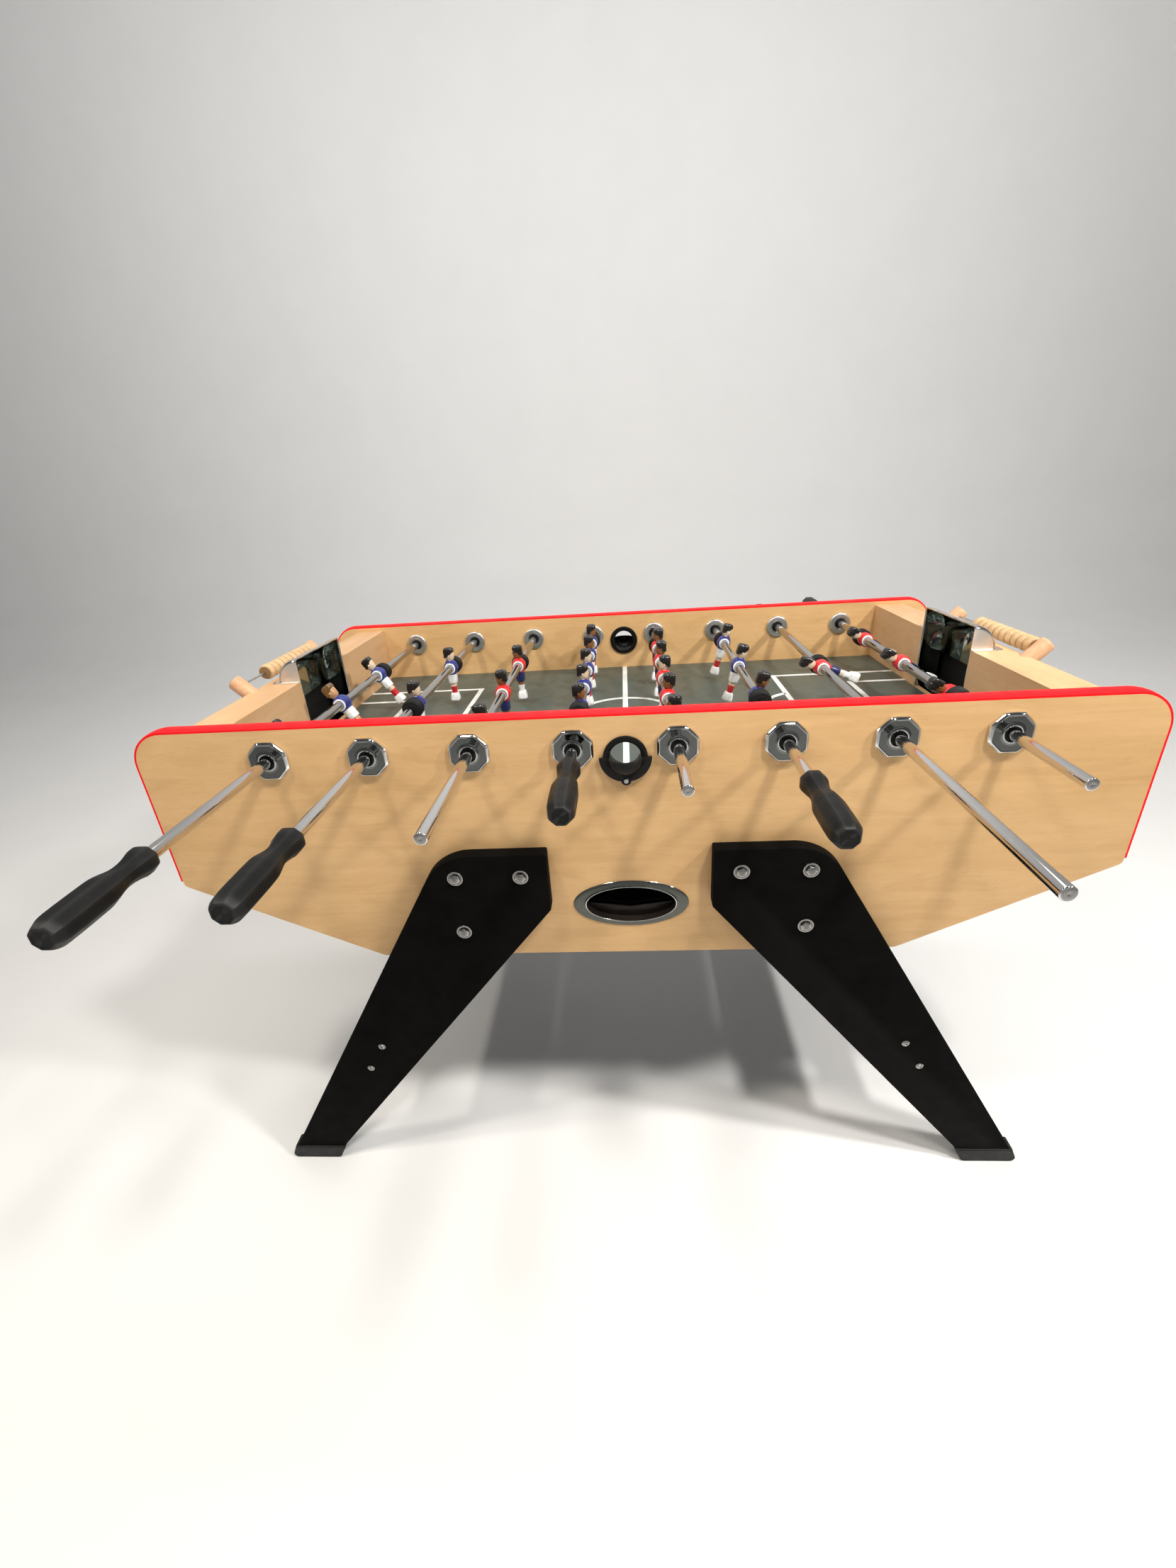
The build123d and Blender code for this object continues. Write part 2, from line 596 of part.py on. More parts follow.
with BuildPart() as score_wires:
    for s in (-1, 1):
        with BuildSketch(at_y(POST_Y + 4)):
            with Locations((s * wire_x, wire_z)):
                Circle(WIRE_R)
        extrude(amount=2 * (POST_Y + 4))
keep(score_wires, "score_wires")

for side, s, towards in (("left", -1, 1), ("right", 1, -1)):
    with BuildPart() as beads:
        stop = POST_Y - POST_R - 0.6
        for i in range(BEADS):
            y = towards * (stop - BEAD_L * (i + 0.5))
            half = BEAD_L / 2 - 0.1
            # turned bead: a rounded barrel on a bored core
            section = Plane(origin=(s * wire_x, y, wire_z), x_dir=(0, 1, 0), z_dir=(1, 0, 0))
            with BuildSketch(section):
                with BuildLine():
                    Line((-half, WIRE_R + RUN), (half, WIRE_R + RUN))
                    Line((half, WIRE_R + RUN), (half, 10.5))
                    ThreePointArc((half, 10.5), (0, BEAD_R), (-half, 10.5))
                    Line((-half, 10.5), (-half, WIRE_R + RUN))
                make_face()
            revolve(axis=Axis((s * wire_x, y, wire_z), (0, 1, 0)))
    print(f"{side} beads free run {2 * (POST_Y - POST_R - 0.6) - BEADS * BEAD_L:.2f}")
    keep(beads, f"{side}_score_beads")
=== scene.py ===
import math

import bpy
import bmesh
from mathutils import Matrix, Vector


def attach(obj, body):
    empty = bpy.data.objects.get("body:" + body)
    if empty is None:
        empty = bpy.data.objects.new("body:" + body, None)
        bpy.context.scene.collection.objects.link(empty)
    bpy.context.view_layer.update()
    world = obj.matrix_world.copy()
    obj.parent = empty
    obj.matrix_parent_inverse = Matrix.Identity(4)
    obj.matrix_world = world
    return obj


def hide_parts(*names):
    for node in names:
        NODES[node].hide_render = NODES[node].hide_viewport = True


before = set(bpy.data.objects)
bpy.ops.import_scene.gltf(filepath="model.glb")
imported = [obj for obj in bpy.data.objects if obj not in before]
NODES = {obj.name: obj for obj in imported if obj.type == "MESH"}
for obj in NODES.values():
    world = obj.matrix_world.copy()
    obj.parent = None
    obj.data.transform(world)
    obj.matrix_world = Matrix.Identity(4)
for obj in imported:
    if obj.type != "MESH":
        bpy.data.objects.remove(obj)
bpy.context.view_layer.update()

scene = bpy.context.scene
MM = 0.001

# ------------------------------------------------------------------ dimensions repeated from the model, mm
ROD_Z, ROD_R = 860.0, 8.0
IN_Y, OUT_Y = 362.0, 390.0
END_IN, END_TOP, FIELD_TOP = 606.0, 898.0, 777.0
GOAL_HALF, HOOD_R, HOOD_T = 98.0, 42.0, 1.5
OUTLET_Z, ENTRY_Z = 590.5, 845.0
LEG_T, LEG_BOTTOM = 24.0, 30.0
BOLTS = [(270.5, 660.5), (168.0, 660.5), (270.5, 558.5)]
TIE_BOLTS = [(459.0, 304.6), (490.3, 250.6)]
MAN_HALF, BUMPER_GAP, BUMPER_L, HANDLE_L = 14.0, 0.4, 22.0, 142.0
POST_R, POST_Y, POST_X, POST_Z, POST_OUT, POST_IN, WIRE_AT = 14.0, 147.0, 672.0, 888.0, 44.0, 14.0, 30.0
BEAD_L, BEADS = 19.0, 10
# x, figures, spacing, handle side, rest shift, rest tilt, team, skin of each figure from the far end
RODS = [
    (-525, 3, 198.0, -1, -120.0, -34.0, "blue", "ltl"),
    (-375, 2, 255.0, -1, -17.0, 0.0, "blue", "ll"),
    (-225, 3, 198.0, 1, -97.0, -2.0, "red", "bbb"),
    (-75, 5, 122.0, -1, 38.0, 0.0, "blue", "bbllb"),
    (75, 5, 122.0, 1, -46.0, 3.0, "red", "bblbb"),
    (225, 3, 198.0, -1, 17.0, 16.0, "blue", "llb"),
    (375, 2, 255.0, 1, -153.0, -71.0, "red", "ll"),
    (525, 3, 198.0, 1, -18.0, -60.0, "red", "llb"),
]


# ------------------------------------------------------------------ material helpers
class Mat:
    """A principled material built from object coordinates, which are the shared frame's metres."""

    def __init__(self, name, **sockets):
        self.m = bpy.data.materials.new(name)
        self.m.use_nodes = True
        self.t = self.m.node_tree
        self.t.nodes.clear()
        self.out = self.t.nodes.new("ShaderNodeOutputMaterial")
        self.b = self.t.nodes.new("ShaderNodeBsdfPrincipled")
        self.t.links.new(self.b.outputs[0], self.out.inputs[0])
        self.co = self.t.nodes.new("ShaderNodeTexCoord").outputs["Object"]
        for k, v in sockets.items():
            self.b.inputs[k.replace("_", " ")].default_value = v

    def link(self, a, b):
        self.t.links.new(a, b)
        return self

    def node(self, kind, **kw):
        n = self.t.nodes.new(kind)
        for k, v in kw.items():
            setattr(n, k, v)
        return n

    def scaled(self, s, rot=(0, 0, 0), loc=(0, 0, 0)):
        n = self.node("ShaderNodeMapping")
        n.inputs["Scale"].default_value = s if hasattr(s, "__len__") else (s, s, s)
        n.inputs["Rotation"].default_value = rot
        n.inputs["Location"].default_value = loc
        self.link(self.co, n.inputs["Vector"])
        return n.outputs[0]

    def noise(self, vec, scale, detail=4.0, rough=0.55, dist=0.0):
        n = self.node("ShaderNodeTexNoise")
        n.inputs["Scale"].default_value = scale
        n.inputs["Detail"].default_value = detail
        n.inputs["Roughness"].default_value = rough
        n.inputs["Distortion"].default_value = dist
        self.link(vec, n.inputs["Vector"])
        return n.outputs["Fac"]

    def ramp(self, fac, *stops):
        n = self.node("ShaderNodeValToRGB")
        e = n.color_ramp.elements
        while len(e) < len(stops):
            e.new(0.5)
        for i, (p, c) in enumerate(stops):
            e[i].position = p
            e[i].color = (*c, 1) if hasattr(c, "__len__") else (c, c, c, 1)
        self.link(fac, n.inputs["Fac"])
        return n.outputs["Color"]

    def span(self, fac, lo, hi, a=0.0, b=1.0):
        n = self.node("ShaderNodeMapRange")
        for k, v in zip(("From Min", "From Max", "To Min", "To Max"), (lo, hi, a, b)):
            n.inputs[k].default_value = v
        self.link(fac, n.inputs["Value"])
        return n.outputs["Result"]

    def math(self, op, a, b=None):
        n = self.node("ShaderNodeMath", operation=op)
        for i, x in enumerate((a, b)):
            if x is None:
                continue
            if isinstance(x, (int, float)):
                n.inputs[i].default_value = x
            else:
                self.link(x, n.inputs[i])
        return n.outputs[0]

    def mix(self, fac, a, b, kind="MIX"):
        n = self.node("ShaderNodeMix", data_type="RGBA", blend_type=kind)
        for sock, x in ((n.inputs[0], fac), (n.inputs[6], a), (n.inputs[7], b)):
            if isinstance(x, (int, float)):
                sock.default_value = x
            elif isinstance(x, tuple):
                sock.default_value = (*x, 1)
            else:
                self.link(x, sock)
        return n.outputs[2]

    def color(self, c):
        return self.link(c, self.b.inputs["Base Color"])

    def rough(self, r):
        return self.link(r, self.b.inputs["Roughness"])

    def bump(self, h, strength=0.1, dist=0.001):
        n = self.node("ShaderNodeBump")
        n.inputs["Strength"].default_value = strength
        n.inputs["Distance"].default_value = dist
        self.link(h, n.inputs["Height"])
        return self.link(n.outputs[0], self.b.inputs["Normal"])

    def worn(self):
        """How sharp the surface is here, for wear along edges, and on metal for painted highlights along edges."""
        g = self.node("ShaderNodeNewGeometry")
        return g.outputs["Pointiness"]

    def xyz(self):
        n = self.node("ShaderNodeSeparateXYZ")
        self.link(self.co, n.inputs[0])
        return n.outputs


def maple(name, along, inside_dark=False, painted_shade_below_pitch=False):
    m = Mat(name, Roughness=0.42, Specular_IOR_Level=0.3)

    def axes(a, c):  # stretched along the grain
        return (a, c, c) if along == "x" else (c, a, c)

    cloud = m.noise(m.scaled(axes(2.2, 9.0)), 1.0, 3.0, 0.55, 0.6)
    fibre = m.noise(m.scaled(axes(7.0, 130.0)), 1.0, 5.0, 0.6, 0.3)
    fleck = m.noise(m.scaled(axes(60.0, 900.0)), 1.0, 2.0, 0.5)
    figure = m.noise(m.scaled(axes(5.0, 22.0), loc=(3, 1, 2)), 1.0, 4.0, 0.6, 1.4)
    b = 1.0 if along == "x" else 1.16
    base = m.ramp(cloud, (0.28, (0.60, 0.372, 0.166 * b)), (0.5, (0.660, 0.418, 0.196 * b)), (0.75, (0.705, 0.458, 0.224 * b)))
    streak = m.ramp(figure, (0.40, (0.80, 0.74, 0.66)), (0.54, (1, 1, 1)), (0.70, (0.90, 0.86, 0.80)))
    c = m.mix(0.32, base, streak, "MULTIPLY")
    c = m.mix(0.30, c, m.ramp(fibre, (0.3, (0.84, 0.78, 0.70)), (0.62, (1.0, 1.0, 1.0))), "MULTIPLY")
    c = m.mix(0.25, c, m.ramp(fleck, (0.30, (0.62, 0.52, 0.42)), (0.40, (1.0, 1.0, 1.0))), "MULTIPLY")
    if inside_dark:  # near black on the faces inside the ball's way through the wall
        x, y, z = m.xyz()
        ax = m.math("ABSOLUTE", x)
        hole = m.math("MULTIPLY", m.math("GREATER_THAN", ax, 0.6172), m.math("LESS_THAN", ax, 0.6606))
        hole = m.math("MULTIPLY", hole, m.math("LESS_THAN", z, 0.8797))
        c = m.mix(hole, c, m.ramp(fibre, (0.3, 0.004), (0.7, 0.009)))
    if painted_shade_below_pitch:  # painted shade: the side panels' inner faces under the pitch are coloured near black
        x, y, z = m.xyz()
        low = m.math("MULTIPLY", m.math("LESS_THAN", m.math("ABSOLUTE", y), 0.3785), m.math("LESS_THAN", z, 0.766))
        low = m.math("MULTIPLY", low, m.math("LESS_THAN", m.math("ABSOLUTE", x), 0.671))
        c = m.mix(low, c, m.ramp(fibre, (0.3, 0.005), (0.7, 0.012)))
    m.color(c)
    m.rough(m.span(m.noise(m.scaled(6.0), 1.0, 3.0), 0.3, 0.7, 0.40, 0.54))
    m.bump(fibre, 0.05, 0.0004)
    return m.m


def plastic(name, col, rough=0.35, vary=0.25, grain=900.0, bump=0.04, dust=0.0, spec=0.5, coat=0.0, rub=0.12):
    m = Mat(name, Specular_IOR_Level=spec, Coat_Weight=coat, Coat_Roughness=0.12)
    tone = m.noise(m.scaled(35.0), 1.0, 4.0, 0.6)
    lo = tuple(c * (1 - vary) for c in col)
    hi = tuple(min(1.0, c * (1 + vary)) for c in col)
    c = m.ramp(tone, (0.3, lo), (0.7, hi))
    if dust:
        speck = m.ramp(m.noise(m.scaled(420.0), 1.0, 2.0, 0.7), (0.60, 0.0), (0.74, 1.0))
        cloud = m.ramp(m.noise(m.scaled(9.0), 1.0, 4.0, 0.6), (0.4, 0.15), (0.75, 1.0))
        c = m.mix(m.math("MULTIPLY", m.math("MULTIPLY", speck, cloud), dust), c, (0.42, 0.40, 0.37))
    edge = m.ramp(m.worn(), (0.505, 0.0), (0.56, 1.0))
    c = m.mix(m.math("MULTIPLY", edge, 0.22), c, tuple(min(1.0, 0.5 * x + rub) for x in col))
    m.color(c)
    m.rough(m.span(m.noise(m.scaled(60.0), 1.0, 4.0), 0.3, 0.7, rough - 0.07, rough + 0.09))
    m.bump(m.noise(m.scaled(grain), 1.0, 2.0), bump, 0.0004)
    return m.m


def metal(name, col, rough=0.10, streak=None, bump=0.0, smear=0.05, grime=0.10, wave=0.0, edge=0.0, painted_outside_reflection=None):
    m = Mat(name, Metallic=1.0)
    tone = m.noise(m.scaled(14.0), 1.0, 4.0, 0.6)
    c = m.ramp(tone, (0.25, tuple(x * 0.90 for x in col)), (0.75, col))
    spots = m.ramp(m.noise(m.scaled(170.0), 1.0, 3.0, 0.7), (0.64, 0.0), (0.78, 1.0))
    c = m.mix(m.math("MULTIPLY", spots, grime), c, tuple(x * 0.55 for x in col))
    if painted_outside_reflection:  # painted reflection: brighter where it stands out of the cabinet, for the brighter room mirrored there
        x, y, z = m.xyz()
        c = m.mix(m.span(m.math("ABSOLUTE", y), 0.366, 0.402), c, m.ramp(tone, (0.25, tuple(v * 0.92 for v in painted_outside_reflection)), (0.75, painted_outside_reflection)))
    # painted highlight: sharp metal edges lightened towards white
    if edge:
        c = m.mix(m.math("MULTIPLY", m.ramp(m.worn(), (0.505, 0.0), (0.54, 1.0)), edge), c, (0.88, 0.88, 0.88))
    m.color(c)
    vec = m.scaled(streak) if streak else m.scaled(90.0)
    lines = m.noise(vec, 1.0, 5.0, 0.65)
    m.rough(m.span(lines, 0.3, 0.7, rough, rough + smear))
    if bump:
        m.bump(lines, bump, 0.0003)
    elif wave:
        m.bump(m.noise(m.scaled(16.0), 1.0, 1.0, 0.4), wave, 0.004)
    return m.m


def paint(name, col, rough=0.28, chip=0.5, under=(0.55, 0.52, 0.48)):
    """Hand painted enamel on moulded figures: uneven film, rubbed edges."""
    m = Mat(name, Specular_IOR_Level=0.42, Coat_Weight=0.35, Coat_Roughness=0.06)
    film = m.noise(m.scaled(120.0), 1.0, 4.0, 0.6)
    c = m.ramp(film, (0.28, tuple(x * 0.80 for x in col)), (0.55, col), (0.8, tuple(min(1.0, x * 1.10 + 0.004) for x in col)))
    edge = m.ramp(m.worn(), (0.53, 0.0), (0.62, 1.0))
    rub = m.math("MULTIPLY", edge, m.ramp(m.noise(m.scaled(300.0), 1.0, 3.0), (0.45, 0.0), (0.62, chip)))
    m.color(m.mix(rub, c, under))
    m.rough(m.span(m.noise(m.scaled(220.0), 1.0, 3.0), 0.3, 0.7, rough - 0.06, rough + 0.10))
    m.bump(m.noise(m.scaled(500.0), 1.0, 3.0), 0.08, 0.0003)
    return m.m


def wood(name, light, dark, axis_scale, rings=0.35):
    m = Mat(name, Specular_IOR_Level=0.35)
    grain = m.noise(m.scaled(axis_scale), 1.0, 5.0, 0.6, 0.8)
    fleck = m.noise(m.scaled(tuple(s * 6 for s in axis_scale)), 1.0, 2.0)
    c = m.ramp(grain, (0.3, dark), (0.65, light))
    c = m.mix(rings, c, m.ramp(fleck, (0.35, (0.7, 0.6, 0.5)), (0.5, (1, 1, 1))), "MULTIPLY")
    m.color(c)
    m.rough(m.span(grain, 0.3, 0.7, 0.5, 0.36))
    m.bump(grain, 0.10, 0.0004)
    return m.m


# the long panels carry painted shade, near black, on their inner faces under the pitch
MAPLE_X = maple("maple_long", "x", painted_shade_below_pitch=True)
MAPLE_Y = maple("maple_cross", "y", inside_dark=True)
RED = plastic("red_moulding", (0.93, 0.009, 0.014), rough=0.42, vary=0.05, grain=500.0, bump=0.02, spec=0.09, rub=0.012)
BLACK_GLOSS = plastic("black_moulding", (0.0035, 0.0035, 0.0035), rough=0.30, vary=0.3, dust=0.02, spec=0.15, rub=0.03)
GRIP = plastic("grip_black", (0.0045, 0.0050, 0.0050), rough=0.44, vary=0.3, grain=1500.0, bump=0.06, dust=0.03, spec=0.22, rub=0.07)
RUBBER = plastic("buffer_rubber", (0.0055, 0.0055, 0.006), rough=0.50, vary=0.3, grain=1200.0, bump=0.08, dust=0.03, spec=0.22, rub=0.035)
SHOE = plastic("shoe_black", (0.006, 0.006, 0.006), rough=0.52, vary=0.3, grain=800.0, bump=0.10, dust=0.05, spec=0.12)
BUSH = plastic("bush_black", (0.005, 0.005, 0.005), rough=0.50, vary=0.2, spec=0.25, rub=0.015)
# painted light: the dark colour stands for the dark room mirrored in the flanges, and edge paints white highlights on
# their sharp edges
CHROME = metal("chrome", (0.165, 0.172, 0.168), rough=0.03, smear=0.05, edge=0.9)
# rod chrome: darker inside the cabinet, brighter outside it as a painted reflection
ROD_CHROME = metal("rod_chrome", (0.42, 0.415, 0.41), rough=0.06, streak=(700.0, 5.0, 700.0), smear=0.07, grime=0.08, painted_outside_reflection=(0.74, 0.735, 0.73))
ROD_END = metal("rod_end_cut", (0.37, 0.367, 0.362), rough=0.26, smear=0.10, grime=0.20)
# painted light: the outlet bezels are one metal in two copies, bright_rim lighter as a painted highlight on the rims,
# bezel_satin darker as a painted dark reflection on the face
BRIGHT = metal("bright_rim", (0.50, 0.50, 0.49), rough=0.08, smear=0.06, wave=0.03)
SATIN = metal("bezel_satin", (0.115, 0.120, 0.110), rough=0.24, smear=0.10, grime=0.20, wave=0.02)
THROAT = plastic("bezel_throat", (0.012, 0.008, 0.0055), rough=0.40, vary=0.3, dust=0.02, spec=0.2, rub=0.02)
# edge paints small highlights on the bolt heads' sharp edges
BOLT = metal("bolt_plated", (0.165, 0.160, 0.150), rough=0.16, smear=0.12, edge=0.35)
GALVA = metal("galvanised", (0.70, 0.71, 0.71), rough=0.26, streak=(70.0, 70.0, 70.0), smear=0.18, bump=0.05, grime=0.30)
WIRE = metal("wire_bright", (0.62, 0.62, 0.60), rough=0.22, smear=0.12)
DOWEL = wood("dowel_wood", (0.70, 0.42, 0.25), (0.60, 0.33, 0.18), (60.0, 140.0, 60.0))


def black_board():
    m = Mat("black_board", Specular_IOR_Level=0.02)
    tone = m.noise(m.scaled(30.0), 1.0, 4.0, 0.6)
    c = m.ramp(tone, (0.3, 0.0010), (0.7, 0.0028))
    speck = m.ramp(m.noise(m.scaled(620.0), 1.0, 2.0, 0.7), (0.63, 0.0), (0.76, 1.0))
    cloud = m.ramp(m.noise(m.scaled(7.0), 1.0, 4.0, 0.6), (0.35, 0.1), (0.75, 1.0))
    c = m.mix(m.math("MULTIPLY", m.math("MULTIPLY", speck, cloud), 0.018), c, (0.45, 0.42, 0.38))
    edge = m.ramp(m.worn(), (0.51, 0.0), (0.58, 1.0))
    c = m.mix(m.math("MULTIPLY", edge, 0.06), c, (0.10, 0.095, 0.09))
    m.color(c)
    m.rough(m.span(m.noise(m.scaled(40.0), 1.0, 4.0), 0.3, 0.7, 0.48, 0.64))
    m.bump(m.noise(m.scaled(1400.0), 1.0, 2.0), 0.15, 0.0003)
    return m.m


def pitch():
    m = Mat("pitch_laminate", Specular_IOR_Level=0.5)
    cloud = m.noise(m.scaled(5.0), 1.0, 4.0, 0.6)
    c = m.ramp(cloud, (0.3, (0.060, 0.081, 0.070)), (0.7, (0.079, 0.103, 0.091)))
    fine = m.noise(m.scaled(700.0), 1.0, 2.0, 0.6)
    c = m.mix(0.35, c, m.ramp(fine, (0.35, 0.82), (0.65, 1.0)), "MULTIPLY")
    scuff = m.noise(m.scaled((120.0, 9.0, 1.0), rot=(0, 0, 0.3)), 1.0, 4.0, 0.7)
    c = m.mix(m.ramp(scuff, (0.66, 0.0), (0.80, 0.30)), c, (0.20, 0.21, 0.19))
    m.color(c)
    m.rough(m.span(m.noise(m.scaled(24.0), 1.0, 5.0, 0.65), 0.3, 0.7, 0.30, 0.46))
    m.bump(fine, 0.05, 0.0003)
    return m.m


def line_paint():
    m = Mat("line_white", Specular_IOR_Level=0.45)
    film = m.noise(m.scaled(90.0), 1.0, 5.0, 0.7)
    c = m.ramp(film, (0.25, (0.66, 0.69, 0.67)), (0.5, (0.80, 0.83, 0.81)))
    worn = m.ramp(m.noise(m.scaled(260.0), 1.0, 3.0, 0.7), (0.68, 0.0), (0.80, 0.5))
    m.color(m.mix(worn, c, (0.30, 0.32, 0.29)))
    m.rough(m.span(film, 0.3, 0.7, 0.34, 0.46))
    return m.m


def return_board():
    m = Mat("return_board", Specular_IOR_Level=0.2)
    grain = m.noise(m.scaled((8.0, 90.0, 90.0)), 1.0, 4.0, 0.6)
    m.color(m.ramp(grain, (0.3, (0.005, 0.0045, 0.004)), (0.7, (0.012, 0.011, 0.010))))
    m.rough(m.span(grain, 0.3, 0.7, 0.5, 0.7))
    m.bump(grain, 0.1, 0.0004)
    return m.m


def bead_wood():
    """Turned beads: grain along the wire, painted shade darkens the grooves between them."""
    m = Mat("bead_wood", Specular_IOR_Level=0.35)
    grain = m.noise(m.scaled((160.0, 26.0, 160.0)), 1.0, 5.0, 0.6, 0.8)
    rings = m.noise(m.scaled((20.0, 900.0, 20.0)), 1.0, 2.0, 0.5)
    c = m.ramp(grain, (0.3, (0.56, 0.36, 0.18)), (0.65, (0.72, 0.50, 0.28)))
    c = m.mix(0.35, c, m.ramp(rings, (0.35, (0.72, 0.62, 0.50)), (0.55, (1, 1, 1))), "MULTIPLY")
    # painted shade: darker close to the wire, in the grooves between the beads
    x, y, z = m.xyz()
    dx = m.math("SUBTRACT", m.math("ABSOLUTE", x), 0.6932)
    dz = m.math("SUBTRACT", z, 0.9092)
    d = m.math("SQRT", m.math("ADD", m.math("MULTIPLY", dx, dx), m.math("MULTIPLY", dz, dz)))
    c = m.mix(m.span(d, 0.0108, 0.0132, 0.85, 0.0), c, (0.16, 0.080, 0.030))
    m.color(c)
    m.rough(m.span(grain, 0.3, 0.7, 0.5, 0.36))
    m.bump(grain, 0.08, 0.0004)
    return m.m


def hood_sheet():
    """Bent bright sheet; its colour holds painted reflections: dark green inside the goal for the mirrored pitch, warm
    beige on the outer cheeks for the mirrored wall tops.
    """
    m = Mat("hood_sheet", Metallic=1.0)
    tone = m.noise(m.scaled(14.0), 1.0, 3.0, 0.6)
    # painted reflection: dark green inside the goal, where the pitch is mirrored
    inner = m.ramp(tone, (0.3, (0.32, 0.37, 0.355)), (0.7, (0.40, 0.45, 0.435)))
    outer = m.ramp(tone, (0.3, (0.74, 0.74, 0.75)), (0.7, (0.84, 0.84, 0.84)))
    # painted reflection: warm beige on the outer cheeks, where the maple wall tops are mirrored
    cheek = m.ramp(tone, (0.3, (0.90, 0.84, 0.77)), (0.7, (0.95, 0.90, 0.83)))
    x, y, z = m.xyz()
    dx = m.math("SUBTRACT", m.math("ABSOLUTE", x), 0.606)
    dz = m.math("SUBTRACT", z, 0.898)
    d = m.math("SQRT", m.math("ADD", m.math("MULTIPLY", dx, dx), m.math("MULTIPLY", dz, dz)))
    across = m.math("ABSOLUTE", y)
    up = m.math("MAXIMUM", m.math("SUBTRACT", d, 0.036), 0.0)
    wide = m.math("MAXIMUM", m.math("SUBTRACT", across, 0.092), 0.0)
    skin = m.math("SQRT", m.math("ADD", m.math("MULTIPLY", up, up), m.math("MULTIPLY", wide, wide)))
    roof = m.math("MULTIPLY", m.math("GREATER_THAN", skin, 0.0054), m.math("GREATER_THAN", z, 0.8981))
    side = m.math("MULTIPLY", m.math("GREATER_THAN", across, 0.0976), m.math("LESS_THAN", d, 0.0372))
    out = m.math("MAXIMUM", m.math("GREATER_THAN", across, 0.0977), roof)
    out = m.math("MAXIMUM", out, m.math("LESS_THAN", dx, 0.0034))
    # inside, outside and cheek colours set by position: painted reflections on one sheet
    m.color(m.mix(side, m.mix(out, inner, outer), cheek))
    smear = m.noise(m.scaled((60.0, 60.0, 20.0)), 1.0, 4.0, 0.6)
    m.rough(m.math("ADD", m.span(smear, 0.3, 0.7, 0.04, 0.10), m.math("MULTIPLY", side, 0.30)))
    m.bump(m.noise(m.scaled(15.0), 1.0, 1.0, 0.4), 0.22, 0.004)
    return m.m


CHROME_SHEET = hood_sheet()
BEAD = bead_wood()
BOARD, PITCH, LINE, RETURN = black_board(), pitch(), line_paint(), return_board()
MEN = {
    "blue": paint("shirt_blue", (0.010, 0.023, 0.205)),
    "red": paint("shirt_red", (0.640, 0.012, 0.016)),
    "white": paint("paint_white", (0.86, 0.87, 0.87), chip=0.25, under=(0.50, 0.48, 0.46)),
    "navy": paint("shorts_navy", (0.012, 0.018, 0.095)),
    "l": paint("skin_light", (0.72, 0.56, 0.41), chip=0.2),
    "t": paint("skin_tan", (0.52, 0.29, 0.15), chip=0.2),
    "b": paint("skin_brown", (0.24, 0.095, 0.032), chip=0.2),
    "sock": paint("sock_red", (0.56, 0.015, 0.025)),
    "hair": paint("hair_black", (0.010, 0.0095, 0.010), rough=0.24, chip=0.15, under=(0.10, 0.09, 0.085)),
    "brown": paint("hair_brown", (0.15, 0.075, 0.025), rough=0.28, chip=0.2),
}


# ------------------------------------------------------------------ mesh helpers (millimetres in, metres out)
class Shape:
    def __init__(self):
        self.v, self.f, self.m = [], [], []

    def add(self, verts, faces, mat=0):
        o = len(self.v)
        self.v.extend(verts)
        self.f.extend(tuple(i + o for i in f) for f in faces)
        self.m.extend(mat if isinstance(mat, list) else [mat] * len(faces))

    def loft(self, rings, mat=0, cap0=True, cap1=True, loop=False):
        n = len(rings[0])
        verts = [p for r in rings for p in r]
        faces, kinds = [], []
        last = len(rings) if loop else len(rings) - 1
        for i in range(last):
            a, b = i * n, ((i + 1) % len(rings)) * n
            kinds.extend([mat[i] if isinstance(mat, list) else mat] * n)
            for j in range(n):
                k = (j + 1) % n
                faces.append((a + j, a + k, b + k, b + j))
        if not loop:
            if cap0:
                faces.append(tuple(reversed(range(n))))
            if cap1:
                faces.append(tuple(range((len(rings) - 1) * n, len(rings) * n)))
        kinds.extend([kinds[-1]] * (len(faces) - len(kinds)))
        self.add(verts, faces, kinds)

    def make(self, name, mats, body, replaces=(), slot=None, angle=32.0):
        me = bpy.data.meshes.new(name)
        me.from_pydata([(x * MM, y * MM, z * MM) for x, y, z in self.v], [], self.f)
        for m in mats:
            me.materials.append(m)
        me.polygons.foreach_set("material_index", self.m)
        b = bmesh.new()
        b.from_mesh(me)
        bmesh.ops.recalc_face_normals(b, faces=b.faces[:])
        b.to_mesh(me)
        b.free()
        me.polygons.foreach_set("use_smooth", [True] * len(me.polygons))
        me.set_sharp_from_angle(angle=math.radians(angle))
        me.update()
        o = bpy.data.objects.new(name, me)
        scene.collection.objects.link(o)
        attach(o, body)
        if replaces:
            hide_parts(*replaces)
        return o


def circle(cx, y, cz, r, n=48):
    return [(cx + r * math.cos(2 * math.pi * i / n), y, cz + r * math.sin(2 * math.pi * i / n)) for i in range(n)]


def gon(cx, y, cz, r, sides=8, part=1.0, per=6, soft=0.012, turn=0.0):
    """A ring between a polygon (part 1) of corner radius r and its circle (part 0), corners eased."""
    n, pts = sides * per, []
    for i in range(n):
        a = 2 * math.pi * i / n
        phi = (a % (2 * math.pi / sides)) - math.pi / sides
        flat = r * math.cos(math.pi / sides) / math.cos(phi)
        flat = min(flat, r * (1 - soft))
        rr = part * flat + (1 - part) * r
        t = a + math.pi / sides + turn
        pts.append((cx + rr * math.cos(t), y, cz + rr * math.sin(t)))
    return pts


def ellipse(y, cz, a, b, n=96):
    return [(a * math.cos(2 * math.pi * i / n), y, cz + b * math.sin(2 * math.pi * i / n)) for i in range(n)]


